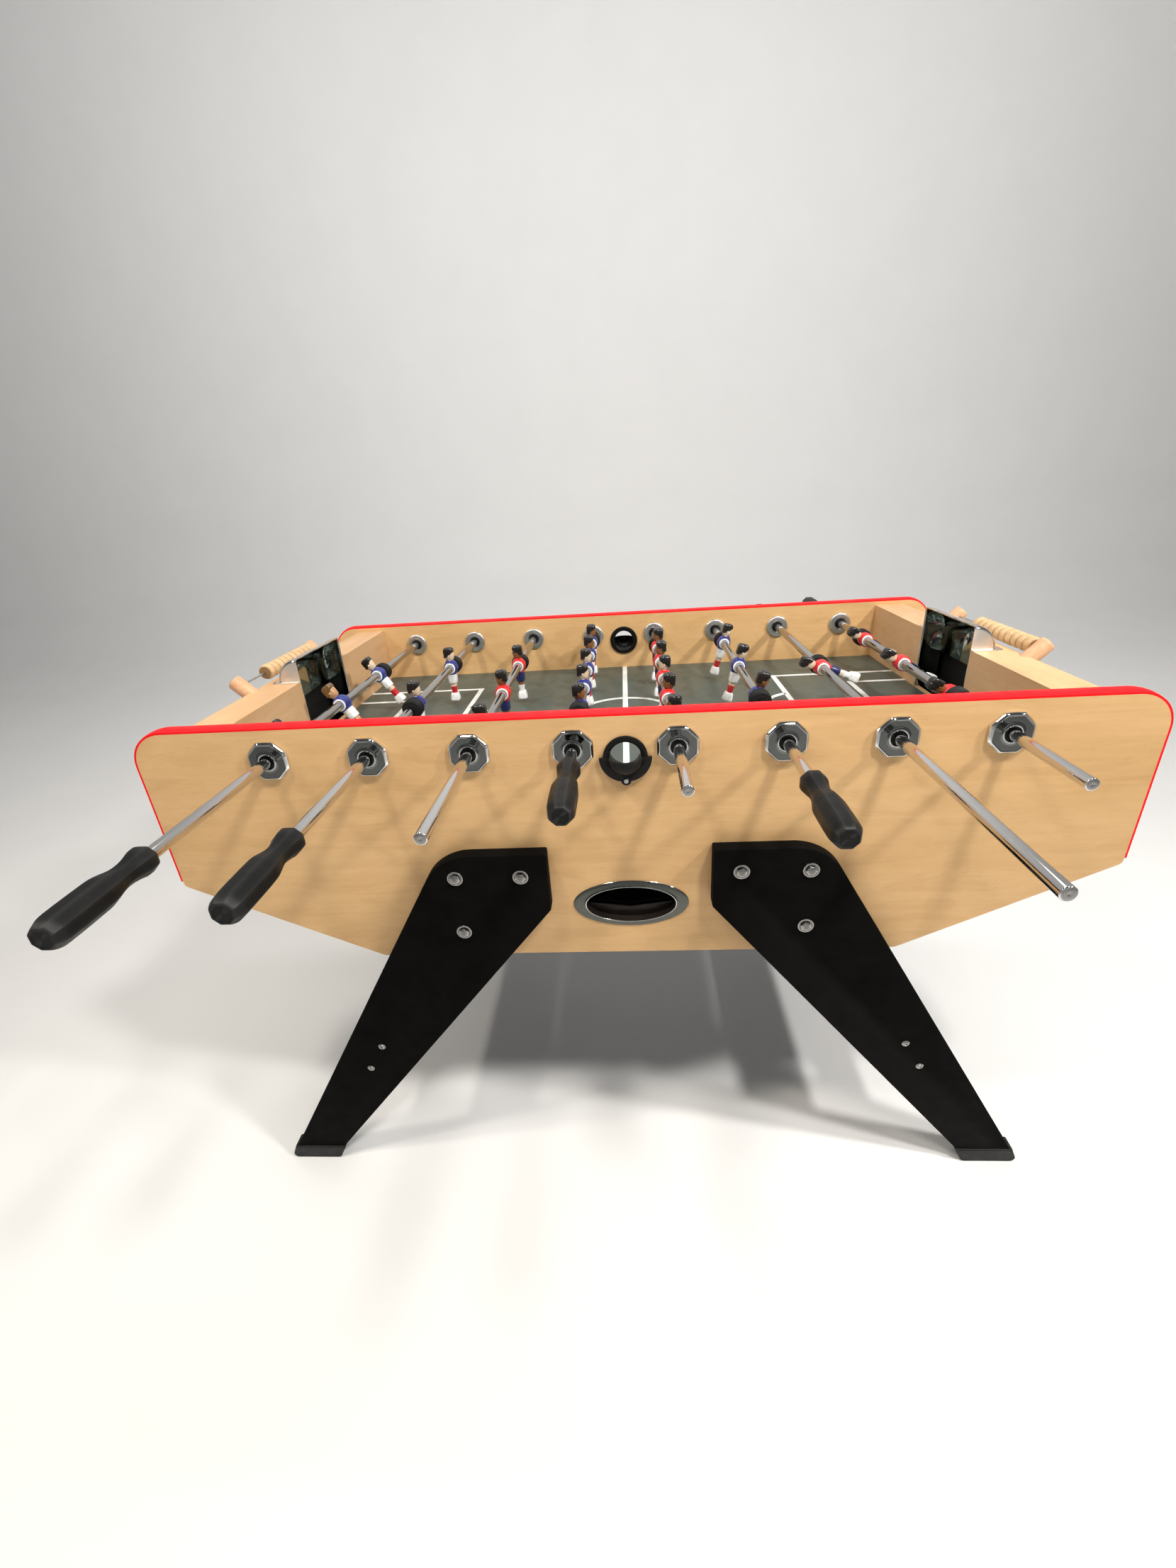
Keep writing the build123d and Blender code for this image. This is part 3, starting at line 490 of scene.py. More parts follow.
def rounded(points, radii, seg=10):
    """A closed outline with its corners rounded."""
    out, n = [], len(points)
    for i, p in enumerate(points):
        r = radii[i]
        if r <= 0:
            out.append(p)
            continue
        a, b, c = (Vector(points[i - 1]), Vector(p), Vector(points[(i + 1) % n]))
        u, w = (a - b).normalized(), (c - b).normalized()
        half = math.acos(max(-1, min(1, u.dot(w)))) / 2
        d = r / math.tan(half)
        centre = b + (u + w).normalized() * (r / math.sin(half))
        s, e = b + u * d - centre, b + w * d - centre
        a0, a1 = math.atan2(s.y, s.x), math.atan2(e.y, e.x)
        da = (a1 - a0 + math.pi) % (2 * math.pi) - math.pi
        for k in range(seg + 1):
            t = a0 + da * k / seg
            out.append((centre.x + r * math.cos(t), centre.y + r * math.sin(t)))
    return out


def inset(outline, d):
    n, out = len(outline), []
    area = sum(outline[i][0] * outline[(i + 1) % n][1] - outline[(i + 1) % n][0] * outline[i][1] for i in range(n))
    s = 1 if area > 0 else -1
    for i in range(n):
        p, q, r = Vector(outline[i - 1]), Vector(outline[i]), Vector(outline[(i + 1) % n])
        e1, e2 = (q - p), (r - q)
        if e1.length < 1e-6:
            e1 = e2
        if e2.length < 1e-6:
            e2 = e1
        e1, e2 = e1.normalized(), e2.normalized()
        n1, n2 = Vector((-e1.y, e1.x)) * s, Vector((-e2.y, e2.x)) * s
        k = max(0.3, 1 + n1.dot(n2))
        off = (n1 + n2) / k * d
        out.append((q.x + off.x, q.y + off.y))
    return out


def prism(shape, outline, place, w0, w1, ease, mat=0):
    """Extrudes an outline from w0 to w1 with eased edges; place(u, v, w) gives the point."""
    sg = 1 if w1 > w0 else -1
    rings = []
    for f_in, f_w in ((1.0, 0.0), (0.30, 0.30), (0.0, 1.0)):
        rings.append([place(u, v, w0 + sg * ease * f_w) for u, v in inset(outline, ease * f_in)])
    for f_in, f_w in ((0.0, 1.0), (0.30, 0.30), (1.0, 0.0)):
        rings.append([place(u, v, w1 - sg * ease * f_w) for u, v in inset(outline, ease * f_in)])
    shape.loft(rings, mat)


def xz(u, v, w):
    return (u, w, v)


# ------------------------------------------------------------------ carried-over boards and mouldings
def dress(material, *names):
    for n in names:
        o = NODES[n]
        o.data.materials.clear()
        o.data.materials.append(material)


dress(MAPLE_X, "near_side_panel", "far_side_panel")
dress(MAPLE_Y, "left_end_wall", "right_end_wall")
dress(RED, "edge_trims")
dress(PITCH, "playfield")
dress(RETURN, "ball_return_boards")
dress(BOARD, "leg_stretchers")
dress(BUSH, "bearing_bushes")
dress(WIRE, "score_wires")
dress(BOLT, "entry_cup_screws")

# ------------------------------------------------------------------ pitch lines, a thin printed film
film = Shape()
Z0, Z1 = FIELD_TOP - 0.05, FIELD_TOP + 0.12
HALF = 5.4


def strip(x0, y0, x1, y1):
    lo, hi = (min(x0, x1), min(y0, y1)), (max(x0, x1), max(y0, y1))
    quad = [(lo[0], lo[1]), (hi[0], lo[1]), (hi[0], hi[1]), (lo[0], hi[1])]
    film.loft([[(x, y, Z0) for x, y in quad], [(x, y, Z1) for x, y in quad]])


def arc_line(cx, cy, r, a0, a1, n=72):
    full = abs(abs(a1 - a0) - 2 * math.pi) < 1e-6
    secs = []
    for i in range(n if full else n + 1):
        a = a0 + (a1 - a0) * i / n
        c, s = math.cos(a), math.sin(a)
        secs.append([(cx + (r - HALF) * c, cy + (r - HALF) * s, Z0), (cx + (r + HALF) * c, cy + (r + HALF) * s, Z0),
                     (cx + (r + HALF) * c, cy + (r + HALF) * s, Z1), (cx + (r - HALF) * c, cy + (r - HALF) * s, Z1)])
    film.loft(secs, loop=full)


strip(-HALF, -IN_Y + 0.3, HALF, -100 - HALF + 0.8)
strip(-HALF, 100 + HALF - 0.8, HALF, IN_Y - 0.3)
strip(-HALF, -100 + HALF - 0.8, HALF, 100 - HALF + 0.8)
arc_line(0, 0, 100, 0, 2 * math.pi, 128)
for s in (-1, 1):
    for front, half in ((340.0, 217.0), (490.0, 145.0)):
        strip(s * (front - HALF), -half - HALF, s * (front + HALF), half + HALF)
        for e in (-1, 1):
            strip(s * (front + HALF), e * half - HALF, s * (END_IN - 0.3), e * half + HALF)
    cut = math.acos((372.0 - 340.0 + HALF * 0.4) / 90.0)
    mid = 0.0 if s < 0 else math.pi
    arc_line(s * 372.0, 0, 90.0, mid - cut, mid + cut, 56)
film.make("pitch_lines", [LINE], "table", slot="pitch_board")

# ------------------------------------------------------------------ goal hoods of bent bright sheet
for side, s in (("left", -1), ("right", 1)):
    hood = Shape()
    arc = [(math.cos(math.radians(a)), math.sin(math.radians(a))) for a in range(90, -1, -3)]
    outer = [(s * (END_IN + HOOD_R * c), END_TOP + HOOD_R * k) for c, k in arc] + [(s * (END_IN + HOOD_R), 850.0)]
    ri = HOOD_R - HOOD_T
    inner = [(s * (END_IN + ri * c), END_TOP + ri * k) for c, k in arc] + [(s * (END_IN + ri), 850.0)]
    bend = 6.0
    prism(hood, outer[:-1] + inner[-2::-1], xz, -(GOAL_HALF - bend), GOAL_HALF - bend, 0.02)
    prism(hood, outer[-2:] + inner[:-3:-1], xz, -(GOAL_HALF - HOOD_T), GOAL_HALF - HOOD_T, 0.15)
    rb = HOOD_R - bend
    cheek = [(s * (END_IN + rb * c), END_TOP + rb * k) for c, k in arc] + [
        (s * (END_IN + rb), END_TOP - 0.4), (s * (END_IN + HOOD_R), END_TOP - 0.4), (s * (END_IN + HOOD_R), FIELD_TOP + 0.2), (s * END_IN, FIELD_TOP + 0.2)]
    for e in (-1, 1):
        prism(hood, cheek, xz, e * (GOAL_HALF - HOOD_T), e * GOAL_HALF, 0.02)
        # rounded bend between roof and cheek
        turn = [math.radians(9 * i) for i in range(11)]
        edge = [(bend * math.sin(q), bend * math.cos(q)) for q in turn] + [((bend - HOOD_T) * math.sin(q), (bend - HOOD_T) * math.cos(q)) for q in reversed(turn)]
        hood.loft([[(s * (END_IN + (rb + u) * c), e * (GOAL_HALF - bend + v), END_TOP + (rb + u) * k) for u, v in edge] for c, k in arc])
    # base flange on the wall's cap
    g, h = GOAL_HALF + 0.05, GOAL_HALF + 10
    lip = [(s * END_IN, -h), (s * (END_IN + HOOD_R + 10), -h), (s * (END_IN + HOOD_R + 10), h), (s * END_IN, h),
           (s * END_IN, g), (s * (END_IN + HOOD_R + 0.05), g), (s * (END_IN + HOOD_R + 0.05), -g), (s * END_IN, -g)]
    prism(hood, rounded(lip, [0, 8, 8, 0, 0, 0, 0, 0], 6), lambda u, v, w: (u, v, w), END_TOP + 0.02, END_TOP + HOOD_T, 0.45)
    # rolled wire edge round the mouth
    path = [(FIELD_TOP + 1.6, -GOAL_HALF + 1.6), (END_TOP + HOOD_R - 6, -GOAL_HALF + 1.6), (END_TOP + HOOD_R - 2.6, -GOAL_HALF + 2.6), (END_TOP + HOOD_R - 1.6, -GOAL_HALF + 6),
            (END_TOP + HOOD_R - 1.6, GOAL_HALF - 6), (END_TOP + HOOD_R - 2.6, GOAL_HALF - 2.6), (END_TOP + HOOD_R - 6, GOAL_HALF - 1.6), (FIELD_TOP + 1.6, GOAL_HALF - 1.6)]
    rings = []
    for i, (z, y) in enumerate(path):
        z0, y0 = path[max(0, i - 1)]
        z1, y1 = path[min(len(path) - 1, i + 1)]
        d = Vector((y1 - y0, z1 - z0)).normalized()
        rings.append([(s * (END_IN + 1.7 + 1.5 * math.cos(2 * math.pi * k / 10)), y - d.y * 1.5 * math.sin(2 * math.pi * k / 10), z + d.x * 1.5 * math.sin(2 * math.pi * k / 10)) for k in range(10)])
    hood.loft(rings)
    hood.make(f"{side}_hood_sheet", [CHROME_SHEET], "table", [f"{side}_goal_hood"], "bright_chrome", 40)

# ------------------------------------------------------------------ ball outlets and ball entries
bezel = Shape()
for g in (-1, 1):
    rings = [ellipse(g * (OUT_Y + d), OUTLET_Z, a, b) for d, a, b in (
        (0.05, 91.6, 42.6), (0.7, 92.0, 43.0), (1.3, 91.6, 42.6), (1.8, 90.4, 41.4), (2.4, 84.0, 38.3), (2.9, 77.0, 35.4), (3.1, 74.8, 34.6),
        (3.9, 74.2, 34.1), (4.4, 73.0, 33.3), (4.5, 72.2, 32.8), (4.1, 71.4, 32.2), (3.2, 71.0, 32.0), (-11.8, 71.0, 32.0), (-12.0, 71.4, 32.4),
        (-12.0, 73.4, 34.4), (-11.6, 73.7, 34.7), (0.02, 73.7, 34.7))]
    # rims 1, 8 and 9 take the lighter copy, a painted highlight
    bezel.loft(rings, [1 if i in (1, 8, 9) else 2 if 10 <= i <= 13 else 0 for i in range(len(rings))], loop=True)
    # dark sill under the return boards' edge
    low = [70.6 - 141.2 * i / 44 for i in range(45)]
    sill = [(-70.6, 587.2), (0.0, 576.4), (70.6, 587.2)] + [(u, OUTLET_Z - 31.9 * math.sqrt(1 - (u / 71.0) ** 2)) for u in low[1:-1]]
    prism(bezel, sill, xz, g * (OUT_Y - 11.9), g * (OUT_Y - 9.9), 0.15, 2)
bezel.make("outlet_bezels_turned", [SATIN, BRIGHT, THROAT], "table", ["ball_outlet_bezels"], "bright_chrome", 50)

cups = Shape()
for g in (-1, 1):
    ring = [circle(0, g * (OUT_Y + d), ENTRY_Z, r, 72) for d, r in (
        (0.02, 31.8), (2.9, 32.0), (3.6, 31.6), (4.0, 30.6), (3.8, 27.0), (3.4, 24.4), (2.6, 23.0), (1.2, 22.6), (-13.4, 22.6), (-13.8, 23.0), (-13.8, 25.3), (-13.4, 25.7), (0.02, 25.7))]
    cups.loft(ring, loop=True)
    wing = []
    for k in range(0, 61):
        a = math.pi + math.pi * k / 60
        p = (38.0 * math.cos(a), 38.0 * math.sin(a))
        if p[1] < -35.5:
            continue
        if p[0] > 0 and wing and wing[-1][0] < 0:
            c = [(7.6 * math.cos(t), -36.0 + 7.6 * math.sin(t)) for t in (math.radians(x) for x in range(172, 371, 12))]
            wing.extend([(-13.4, -35.6), (-10.6, -36.4)] + [q for q in c if q[1] < -36.0] + [(10.6, -36.4), (13.4, -35.6)])
        wing.append(p)
    inner = [(24.6 * math.cos(math.pi + math.pi * k / 40), 24.6 * math.sin(math.pi + math.pi * k / 40)) for k in range(41)]
    outline = [(x, ENTRY_Z + z) for x, z in wing + inner[::-1]]
    prism(cups, outline, xz, g * (OUT_Y + 0.05), g * (OUT_Y + 5.9), 0.9)
    # half bowl: a quarter sphere with a rolled rim
    R0, R1, na, ne = 26.3, 23.5, 40, 14
    rows = []
    for e in range(ne + 1):
        el = -math.pi / 2 * (1 - e / ne)
        rows.append([(R0 * math.cos(el) * math.cos(math.pi * a / na), g * (OUT_Y + 1.0 + R0 * math.cos(el) * math.sin(math.pi * a / na) * 0.96), ENTRY_Z - 0.6 + R0 * math.sin(el)) for a in range(na + 1)])
    rows.append([(25.6 * math.cos(math.pi * a / na), g * (OUT_Y + 1.0 + 25.4 * math.sin(math.pi * a / na) * 0.96), ENTRY_Z) for a in range(na + 1)])
    rows.append([(24.2 * math.cos(math.pi * a / na), g * (OUT_Y + 1.0 + 24.2 * math.sin(math.pi * a / na) * 0.96), ENTRY_Z) for a in range(na + 1)])
    for e in range(ne + 1):
        el = -math.pi / 2 * (e / ne)
        rows.append([(R1 * math.cos(el) * math.cos(math.pi * a / na), g * (OUT_Y + 1.0 + R1 * math.cos(el) * math.sin(math.pi * a / na) * 0.96), ENTRY_Z - 0.6 + R1 * math.sin(el)) for a in range(na + 1)])
    w = na + 1
    faces = [(i * w + j, i * w + j + 1, (i + 1) * w + j + 1, (i + 1) * w + j) for i in range(len(rows) - 1) for j in range(na)]
    for j in (0, na):
        chain = [i * w + j for i in range(len(rows))]
        half = len(rows) // 2
        for i in range(half - 1):
            faces.append((chain[i], chain[i + 1], chain[-2 - i], chain[-1 - i]))
    cups.add([p for r in rows for p in r], faces)
cups.make("entry_cups_moulded", [BLACK_GLOSS], "table", ["ball_entry_cups"], "black_plastic", 38)

rings_in = Shape()
for g in (-1, 1):
    prof = ((0.02, 33.2), (-2.6, 33.5), (-3.4, 33.0), (-3.9, 31.8), (-4.0, 29.0), (-3.7, 25.6), (-2.6, 23.4), (-1.0, 22.6), (13.4, 22.6), (13.8, 23.0), (13.8, 25.4), (13.4, 25.7), (0.02, 25.7))
    rings_in.loft([circle(0, g * (IN_Y + d), ENTRY_Z, r, 72) for d, r in prof], loop=True)
rings_in.make("entry_rings_moulded", [BLACK_GLOSS], "table", ["ball_entry_rings"], "black_plastic", 40)

# ------------------------------------------------------------------ rod bearings
flanges, inner_rings = Shape(), Shape()
for x, *_ in RODS:
    for g in (-1, 1):
        prof = ((0.02, 32.2, 1.0), (0.5, 32.47, 1.0), (4.6, 32.47, 1.0), (5.2, 32.2, 1.0), (7.5, 29.7, 1.0), (7.9, 29.1, 1.0), (8.0, 28.5, 1.0), (7.9, 27.9, 1.0), (7.75, 27.5, 1.0), (7.7, 27.0, 1.0),
                (7.7, 26.4, 1.0), (7.7, 18.0, 0.0), (7.7, 17.4, 0.0), (7.75, 16.4, 0.0), (7.95, 15.2, 0.0), (8.3, 14.3, 0.0), (8.8, 13.7, 0.0), (9.1, 13.3, 0.0), (9.2, 12.8, 0.0), (9.2, 12.2, 0.0), (9.0, 11.7, 0.0), (8.5, 11.42, 0.0), (0.02, 11.4, 0.0))
        flanges.loft([gon(x, g * (OUT_Y + d), ROD_Z, r, 8, p, 6) for d, r, p in prof], [1 if i >= len(prof) - 2 else 0 for i in range(len(prof))], loop=True)
        prof = ((0.02, 24.9), (-3.2, 25.0), (-4.4, 24.5), (-5.4, 23.4), (-6.0, 21.8), (-6.0, 15.2), (-5.7, 13.6), (-4.8, 12.2), (-3.6, 11.4), (0.02, 11.4))
        inner_rings.loft([circle(x, g * (IN_Y + d), ROD_Z, r, 48) for d, r in prof], loop=True)
flanges.make("bearing_flanges_cast", [CHROME, BUSH], "table", ["outer_bearing_flanges"], "bright_chrome", 24)
inner_rings.make("bearing_rings_pressed", [GALVA], "table", ["inner_bearing_rings"], "galvanised_steel", 40)

# ------------------------------------------------------------------ legs, shoes, bolts
for front, g in (("near", -1), ("far", 1)):
    for side, s in (("left", -1), ("right", 1)):
        leg = Shape()
        pts = [(s * 126, 699), (s * 293, 699), (s * 689.5, LEG_BOTTOM), (s * 592.5, LEG_BOTTOM), (s * 126, 597)]
        prism(leg, rounded(pts, [2.5, 84, 1, 1, 4], 18), xz, g * OUT_Y, g * (OUT_Y + LEG_T), 1.3)
        leg.make(f"{front}_{side}_leg_board", [BOARD], "table", [f"{front}_{side}_leg"], "black_board", 30)

shoes, bolts, ties = Shape(), Shape(), Shape()
for g in (-1, 1):
    for s in (-1, 1):
        pts = [(s * 692, LEG_BOTTOM + 3), (s * 706, 0), (s * 605, 0), (s * 588, LEG_BOTTOM + 3)]
        prism(shoes, rounded(pts, [1.5, 9, 9, 1.5], 8), xz, g * (OUT_Y - 2), g * (OUT_Y + LEG_T + 2), 2.4)
        for i, (x, z) in enumerate(BOLTS):
            f, turn = OUT_Y + LEG_T, 0.4 * i + 0.7 * s + 0.2 * g
            prof = ((0.0, 12.2, 0), (0.9, 12.5, 0), (1.5, 12.2, 0), (1.7, 11.4, 0), (1.6, 9.4, 0), (1.7, 8.8, 1), (3.6, 8.8, 1), (4.3, 8.4, 0.7), (5.0, 7.2, 0.2), (5.6, 5.4, 0), (5.9, 3.4, 0), (6.0, 1.2, 0))
            bolts.loft([gon(s * x, g * (f + d), z, r, 6, p, 8, 0.02, turn) for d, r, p in prof], cap0=False)
        for x, z in TIE_BOLTS:
            f = OUT_Y + LEG_T
            prof = ((0.0, 6.4), (0.7, 6.5), (1.1, 6.0), (1.2, 5.2), (2.0, 4.9), (2.6, 4.0), (2.9, 2.6), (2.5, 2.2), (1.6, 2.0), (1.6, 0.5))
            ties.loft([circle(s * x, g * (f + d), z, r, 28) for d, r in prof], cap0=False)
shoes.make("leg_shoes_moulded", [SHOE], "table", ["leg_feet"], "foot_plastic", 30)
bolts.make("leg_bolts_domed", [BOLT], "table", ["leg_bolts"], "bolt_steel", 30)
ties.make("stretcher_bolts_domed", [BOLT], "table", ["stretcher_bolts"], "bolt_steel", 40)

# ------------------------------------------------------------------ bead counters
d45 = math.sqrt(0.5)
wire_x, wire_z = POST_X + WIRE_AT * d45, POST_Z + WIRE_AT * d45
posts = Shape()
for s in (-1, 1):
    for y in (-POST_Y, POST_Y):
        rings = []
        for t, r in ((-POST_IN, 13.6), (0.0, 13.95), (38.6, 14.0), (40.8, 13.6), (42.4, 12.7), (43.5, 11.2), (44.0, 9.2), (44.0, 3.0)):
            c = (s * (POST_X + t * d45), y, POST_Z + t * d45)
            rings.append([(c[0] - s * d45 * r * math.sin(2 * math.pi * k / 40), c[1] + r * math.cos(2 * math.pi * k / 40), c[2] + d45 * r * math.sin(2 * math.pi * k / 40)) for k in range(40)])
        posts.loft(rings)
posts.make("score_dowels", [DOWEL], "table", ["score_posts"], "dowel_wood", 40)

for side, s, to in (("left", -1, 1), ("right", 1, -1)):
    beads = Shape()
    for i in range(BEADS):
        y = to * (POST_Y - POST_R - 0.6 - BEAD_L * (i + 0.5))
        fat = 14.45 - 0.25 * ((i * 7) % 3) / 2
        prof = [(9.4, 2.08), (9.4, 9.6), (9.2, 10.7), (8.5, 11.9), (7.2, 13.0), (5.4, 13.8), (3.0, 14.3), (0.0, 14.45)]
        prof = prof + [(-a, r) for a, r in prof[-2::-1]]
        beads.loft([circle(s * wire_x, y + a, wire_z, r * fat / 14.45 if r > 3 else r, 44) for a, r in prof], loop=True)
    beads.make(f"{side}_beads_turned", [BEAD], f"{side}_beads", [f"{side}_score_beads"], "bead_wood", 40)


# ------------------------------------------------------------------ figures
def smooth(a, b, x):
    t = max(0.0, min(1.0, (x - a) / (b - a)))
    return t * t * (3 - 2 * t)


def oval(cx, z, ax, ay, n=36, power=2.4, crease=0.0):
    pts = []
    for i in range(n):
        t = 2 * math.pi * i / n
        c, k = math.cos(t), math.sin(t)
        x = ax * math.copysign(abs(c) ** (2 / power), c)
        y = ay * math.copysign(abs(k) ** (2 / power), k)
        if crease:
            x *= 1 - crease * math.exp(-((y / (0.24 * ay)) ** 2))
        pts.append((cx + x, y, z))
    return pts


def head_radius(az, el):
    """Distance from the head's middle to its skin; azimuth 0 looks forward."""
    ca, sa, ce, se = math.cos(az), math.sin(az), math.cos(el), math.sin(el)
    ax, ay, az_ = 10.0, 8.6, 13.8
    if se < 0:  # jaw: narrower, chin a little forward
        ay *= 1 - 0.18 * se * se
        ax *= 1 - 0.12 * se * se * (1 if ca < 0 else 0.2)
    r = (abs(ce * ca / ax) ** 2.5 + abs(ce * sa / ay) ** 2.5 + abs(se / az_) ** 2.5) ** (-1 / 2.5)
    w = math.atan2(sa, ca)
    r += 1.9 * math.exp(-((w / 0.20) ** 2) - (((el + 0.02) / 0.18) ** 2))      # nose
    r += 0.60 * math.exp(-((w / 0.62) ** 2) - (((el - 0.30) / 0.12) ** 2))     # brow
    r -= 0.85 * math.exp(-(((abs(w) - 0.40) / 0.20) ** 2) - (((el - 0.13) / 0.11) ** 2))  # eyes
    r += 0.50 * math.exp(-((w / 0.34) ** 2) - (((el + 0.40) / 0.10) ** 2))     # lips
    r += 0.70 * math.exp(-((w / 0.42) ** 2) - (((el + 0.78) / 0.18) ** 2))     # chin
    return r


HEAD = (-0.6, 0.0, 27.2)


def head_grid(radius, nu=40, nv=26):
    rows = []
    for j in range(nv + 1):
        el = -math.pi / 2 + math.pi * (j + 0.02) / (nv + 0.04)
        row = []
        for i in range(nu):
            az = 2 * math.pi * i / nu
            r = radius(az, el)
            row.append((HEAD[0] + r * math.cos(el) * math.cos(az), r * math.cos(el) * math.sin(az), HEAD[2] + r * math.sin(el)))
        rows.append(row)
    return rows


def hair_radius(seed):
    """A flat-topped block of hair with a fringe, long at the back."""
    side = 1 if seed % 2 else -1

    def f(az, el):
        ca, sa, ce, se = math.cos(az), math.sin(az), math.cos(el), math.sin(el)
        w = abs(math.atan2(sa, ca))
        long = 11.2 if ca < 0 else 10.6
        block = (abs(ce * ca / long) ** 5 + abs(ce * sa / 9.6) ** 5 + abs(se / 15.9) ** 5) ** (-1 / 5)
        line = 0.52 - 0.08 * smooth(0.2, 0.8, w) - 0.30 * smooth(0.75, 1.25, w) - 0.45 * smooth(1.35, 1.9, w) - 0.15 * smooth(1.9, 2.6, w)
        line += 0.05 * math.sin(az * side + 0.6) * (1 - smooth(0.9, 1.6, w))
        cover = smooth(line - 0.07, line + 0.07, el)
        lock = 0.20 * math.sin(9 * az * side + 5 * el + seed) + 0.12 * math.sin(17 * az - 8 * el + 2 * seed)
        skin = head_radius(az, el)
        return skin - 1.2 + cover * (max(block, skin + 0.7) + lock - skin + 1.0)

    return f


SLOTS = ["shirt", "white", "shorts", "l", "t", "b", "sock", "hair", "brown"]


def ball(c, rx, ry, rz, nu=12, nv=8):
    rows = []
    for j in range(nv + 1):
        el = -math.pi / 2 + math.pi * (j + 0.05) / (nv + 0.1)
        rows.append([(c[0] + rx * math.cos(el) * math.cos(2 * math.pi * i / nu), c[1] + ry * math.cos(el) * math.sin(2 * math.pi * i / nu), c[2] + rz * math.sin(el)) for i in range(nu)])
    return rows


def turned(prof, n=40):
    """Rings about the rod from (y, radius) pairs."""
    return [[(r * math.cos(2 * math.pi * k / n), y, r * math.sin(2 * math.pi * k / n)) for k in range(n)] for y, r in prof]


def figure(team, skin, hair, seed):
    """One figure on its rod axis, facing +x, as a list of (rings, slot, loop)."""
    S = {k: i for i, k in enumerate(SLOTS)}
    out = []
    # barrel of the shirt round the rod
    side = [(12.1, 10.4), (12.0, 12.0), (11.5, 13.0), (10.4, 13.8), (8.4, 14.3), (5.0, 14.5)]
    out.append((turned([(-y, r) for y, r in side] + [(0.0, 14.5)] + side[::-1], 44), S["shirt"], False))
    # shoulders up to the neck, and the hem over the shorts
    top = [(-2.0, 13.6, 11.9), (4.0, 13.5, 11.9), (8.0, 12.7, 11.8), (11.0, 11.2, 11.3), (13.2, 9.2, 10.0), (14.6, 7.4, 8.2), (15.3, 6.2, 6.8), (15.5, 5.0, 5.4)]
    out.append(([oval(0.0, z, a, b, 40, 2.6) for z, a, b in top], S["shirt"], False))
    hem = [(-7.0, 11.6, 11.4), (-12.2, 10.7, 11.5), (-13.2, 10.6, 11.4), (-13.7, 10.2, 11.0), (-13.8, 9.0, 9.8)]
    out.append(([oval(0.0, z, a, b, 40, 2.8) for z, a, b in hem], S["shirt"], False))
    # short sleeves pressed against the sides
    for e in (-1, 1):
        out.append((ball((-0.5, e * 10.6, 8.6), 6.2, 2.0, 5.4, 20, 10), S["shirt"], False))
    # bosses round the rod, painted white
    for e in (-1, 1):
        prof = ((9.0, 11.2), (12.6, 11.6), (13.4, 11.4), (13.9, 10.8), (14.0, 10.0), (13.9, 8.9), (13.5, 8.3), (12.8, 8.05))
        out.append((turned([(e * y, r) for y, r in prof], 40), S["white"], False))
    out.append(([oval(-0.4, z, a, a * 0.95, 24, 2.0) for z, a in ((13.0, 6.4), (15.6, 6.0), (17.5, 6.2), (19.5, 6.6))], S[skin], False))
    out.append((head_grid(head_radius), S[skin], False))
    out.append((head_grid(hair_radius(seed), 60, 34), S[hair], False))
    for e in (-1, 1):
        out.append((ball((HEAD[0] - 0.4, e * 8.5, HEAD[2] - 0.6), 1.9, 1.1, 2.8), S[skin], False))
    shorts = [(-10.5, 9.3, 10.2), (-14.0, 9.9, 10.9), (-20.0, 10.1, 11.0), (-27.0, 9.6, 10.9), (-32.3, 9.2, 10.6), (-33.3, 8.8, 10.2), (-33.6, 7.6, 9.0)]
    out.append(([oval(0.2, z, a, b, 40, 2.6, 0.04 + 0.10 * smooth(-18, -33, z)) for z, a, b in shorts], S["shorts"], False))
    if team == "blue":
        zones = ((-33.0, -41.0, skin), (-41.0, -57.0, "sock"))
    else:
        zones = ((-33.0, -41.5, skin), (-41.5, -57.0, "white"))

    def calf(z):
        t = (-33.0 - z) / 22.0
        return 6.6 - 0.9 * t + 0.4 * math.sin(t * 5.0), 7.6 - 1.0 * t + 0.4 * math.sin(t * 5.0)

    for z0, z1, k in zones:
        rows, n = [], 7
        lift = 0.40 if k in ("sock", "white") else 0.0
        for i in range(n + 1):
            z = z0 + (z1 - z0) * i / n
            a, b = calf(z)
            edge = lift if 0 < i < n else (lift * 0.2)
            rows.append(oval(0.2, z, a + edge, b + edge, 36, 2.5, 0.12))
        out.append((rows, S[k], False))
    boot = [(-55.6, 6.0, 6.6, 0.0), (-56.4, 7.4, 8.0, 0.0), (-59.5, 8.4, 8.8, 0.1), (-62.5, 9.1, 9.3, 0.2), (-66.5, 9.7, 9.7, 0.2), (-70.5, 9.9, 9.9, 0.1), (-72.2, 9.7, 9.7, 0.0), (-73.0, 8.9, 8.9, 0.0)]
    out.append(([oval(c, z, a, b, 40, 4.2, 0.03) for z, a, b, c in boot], S["white"], False))
    return out


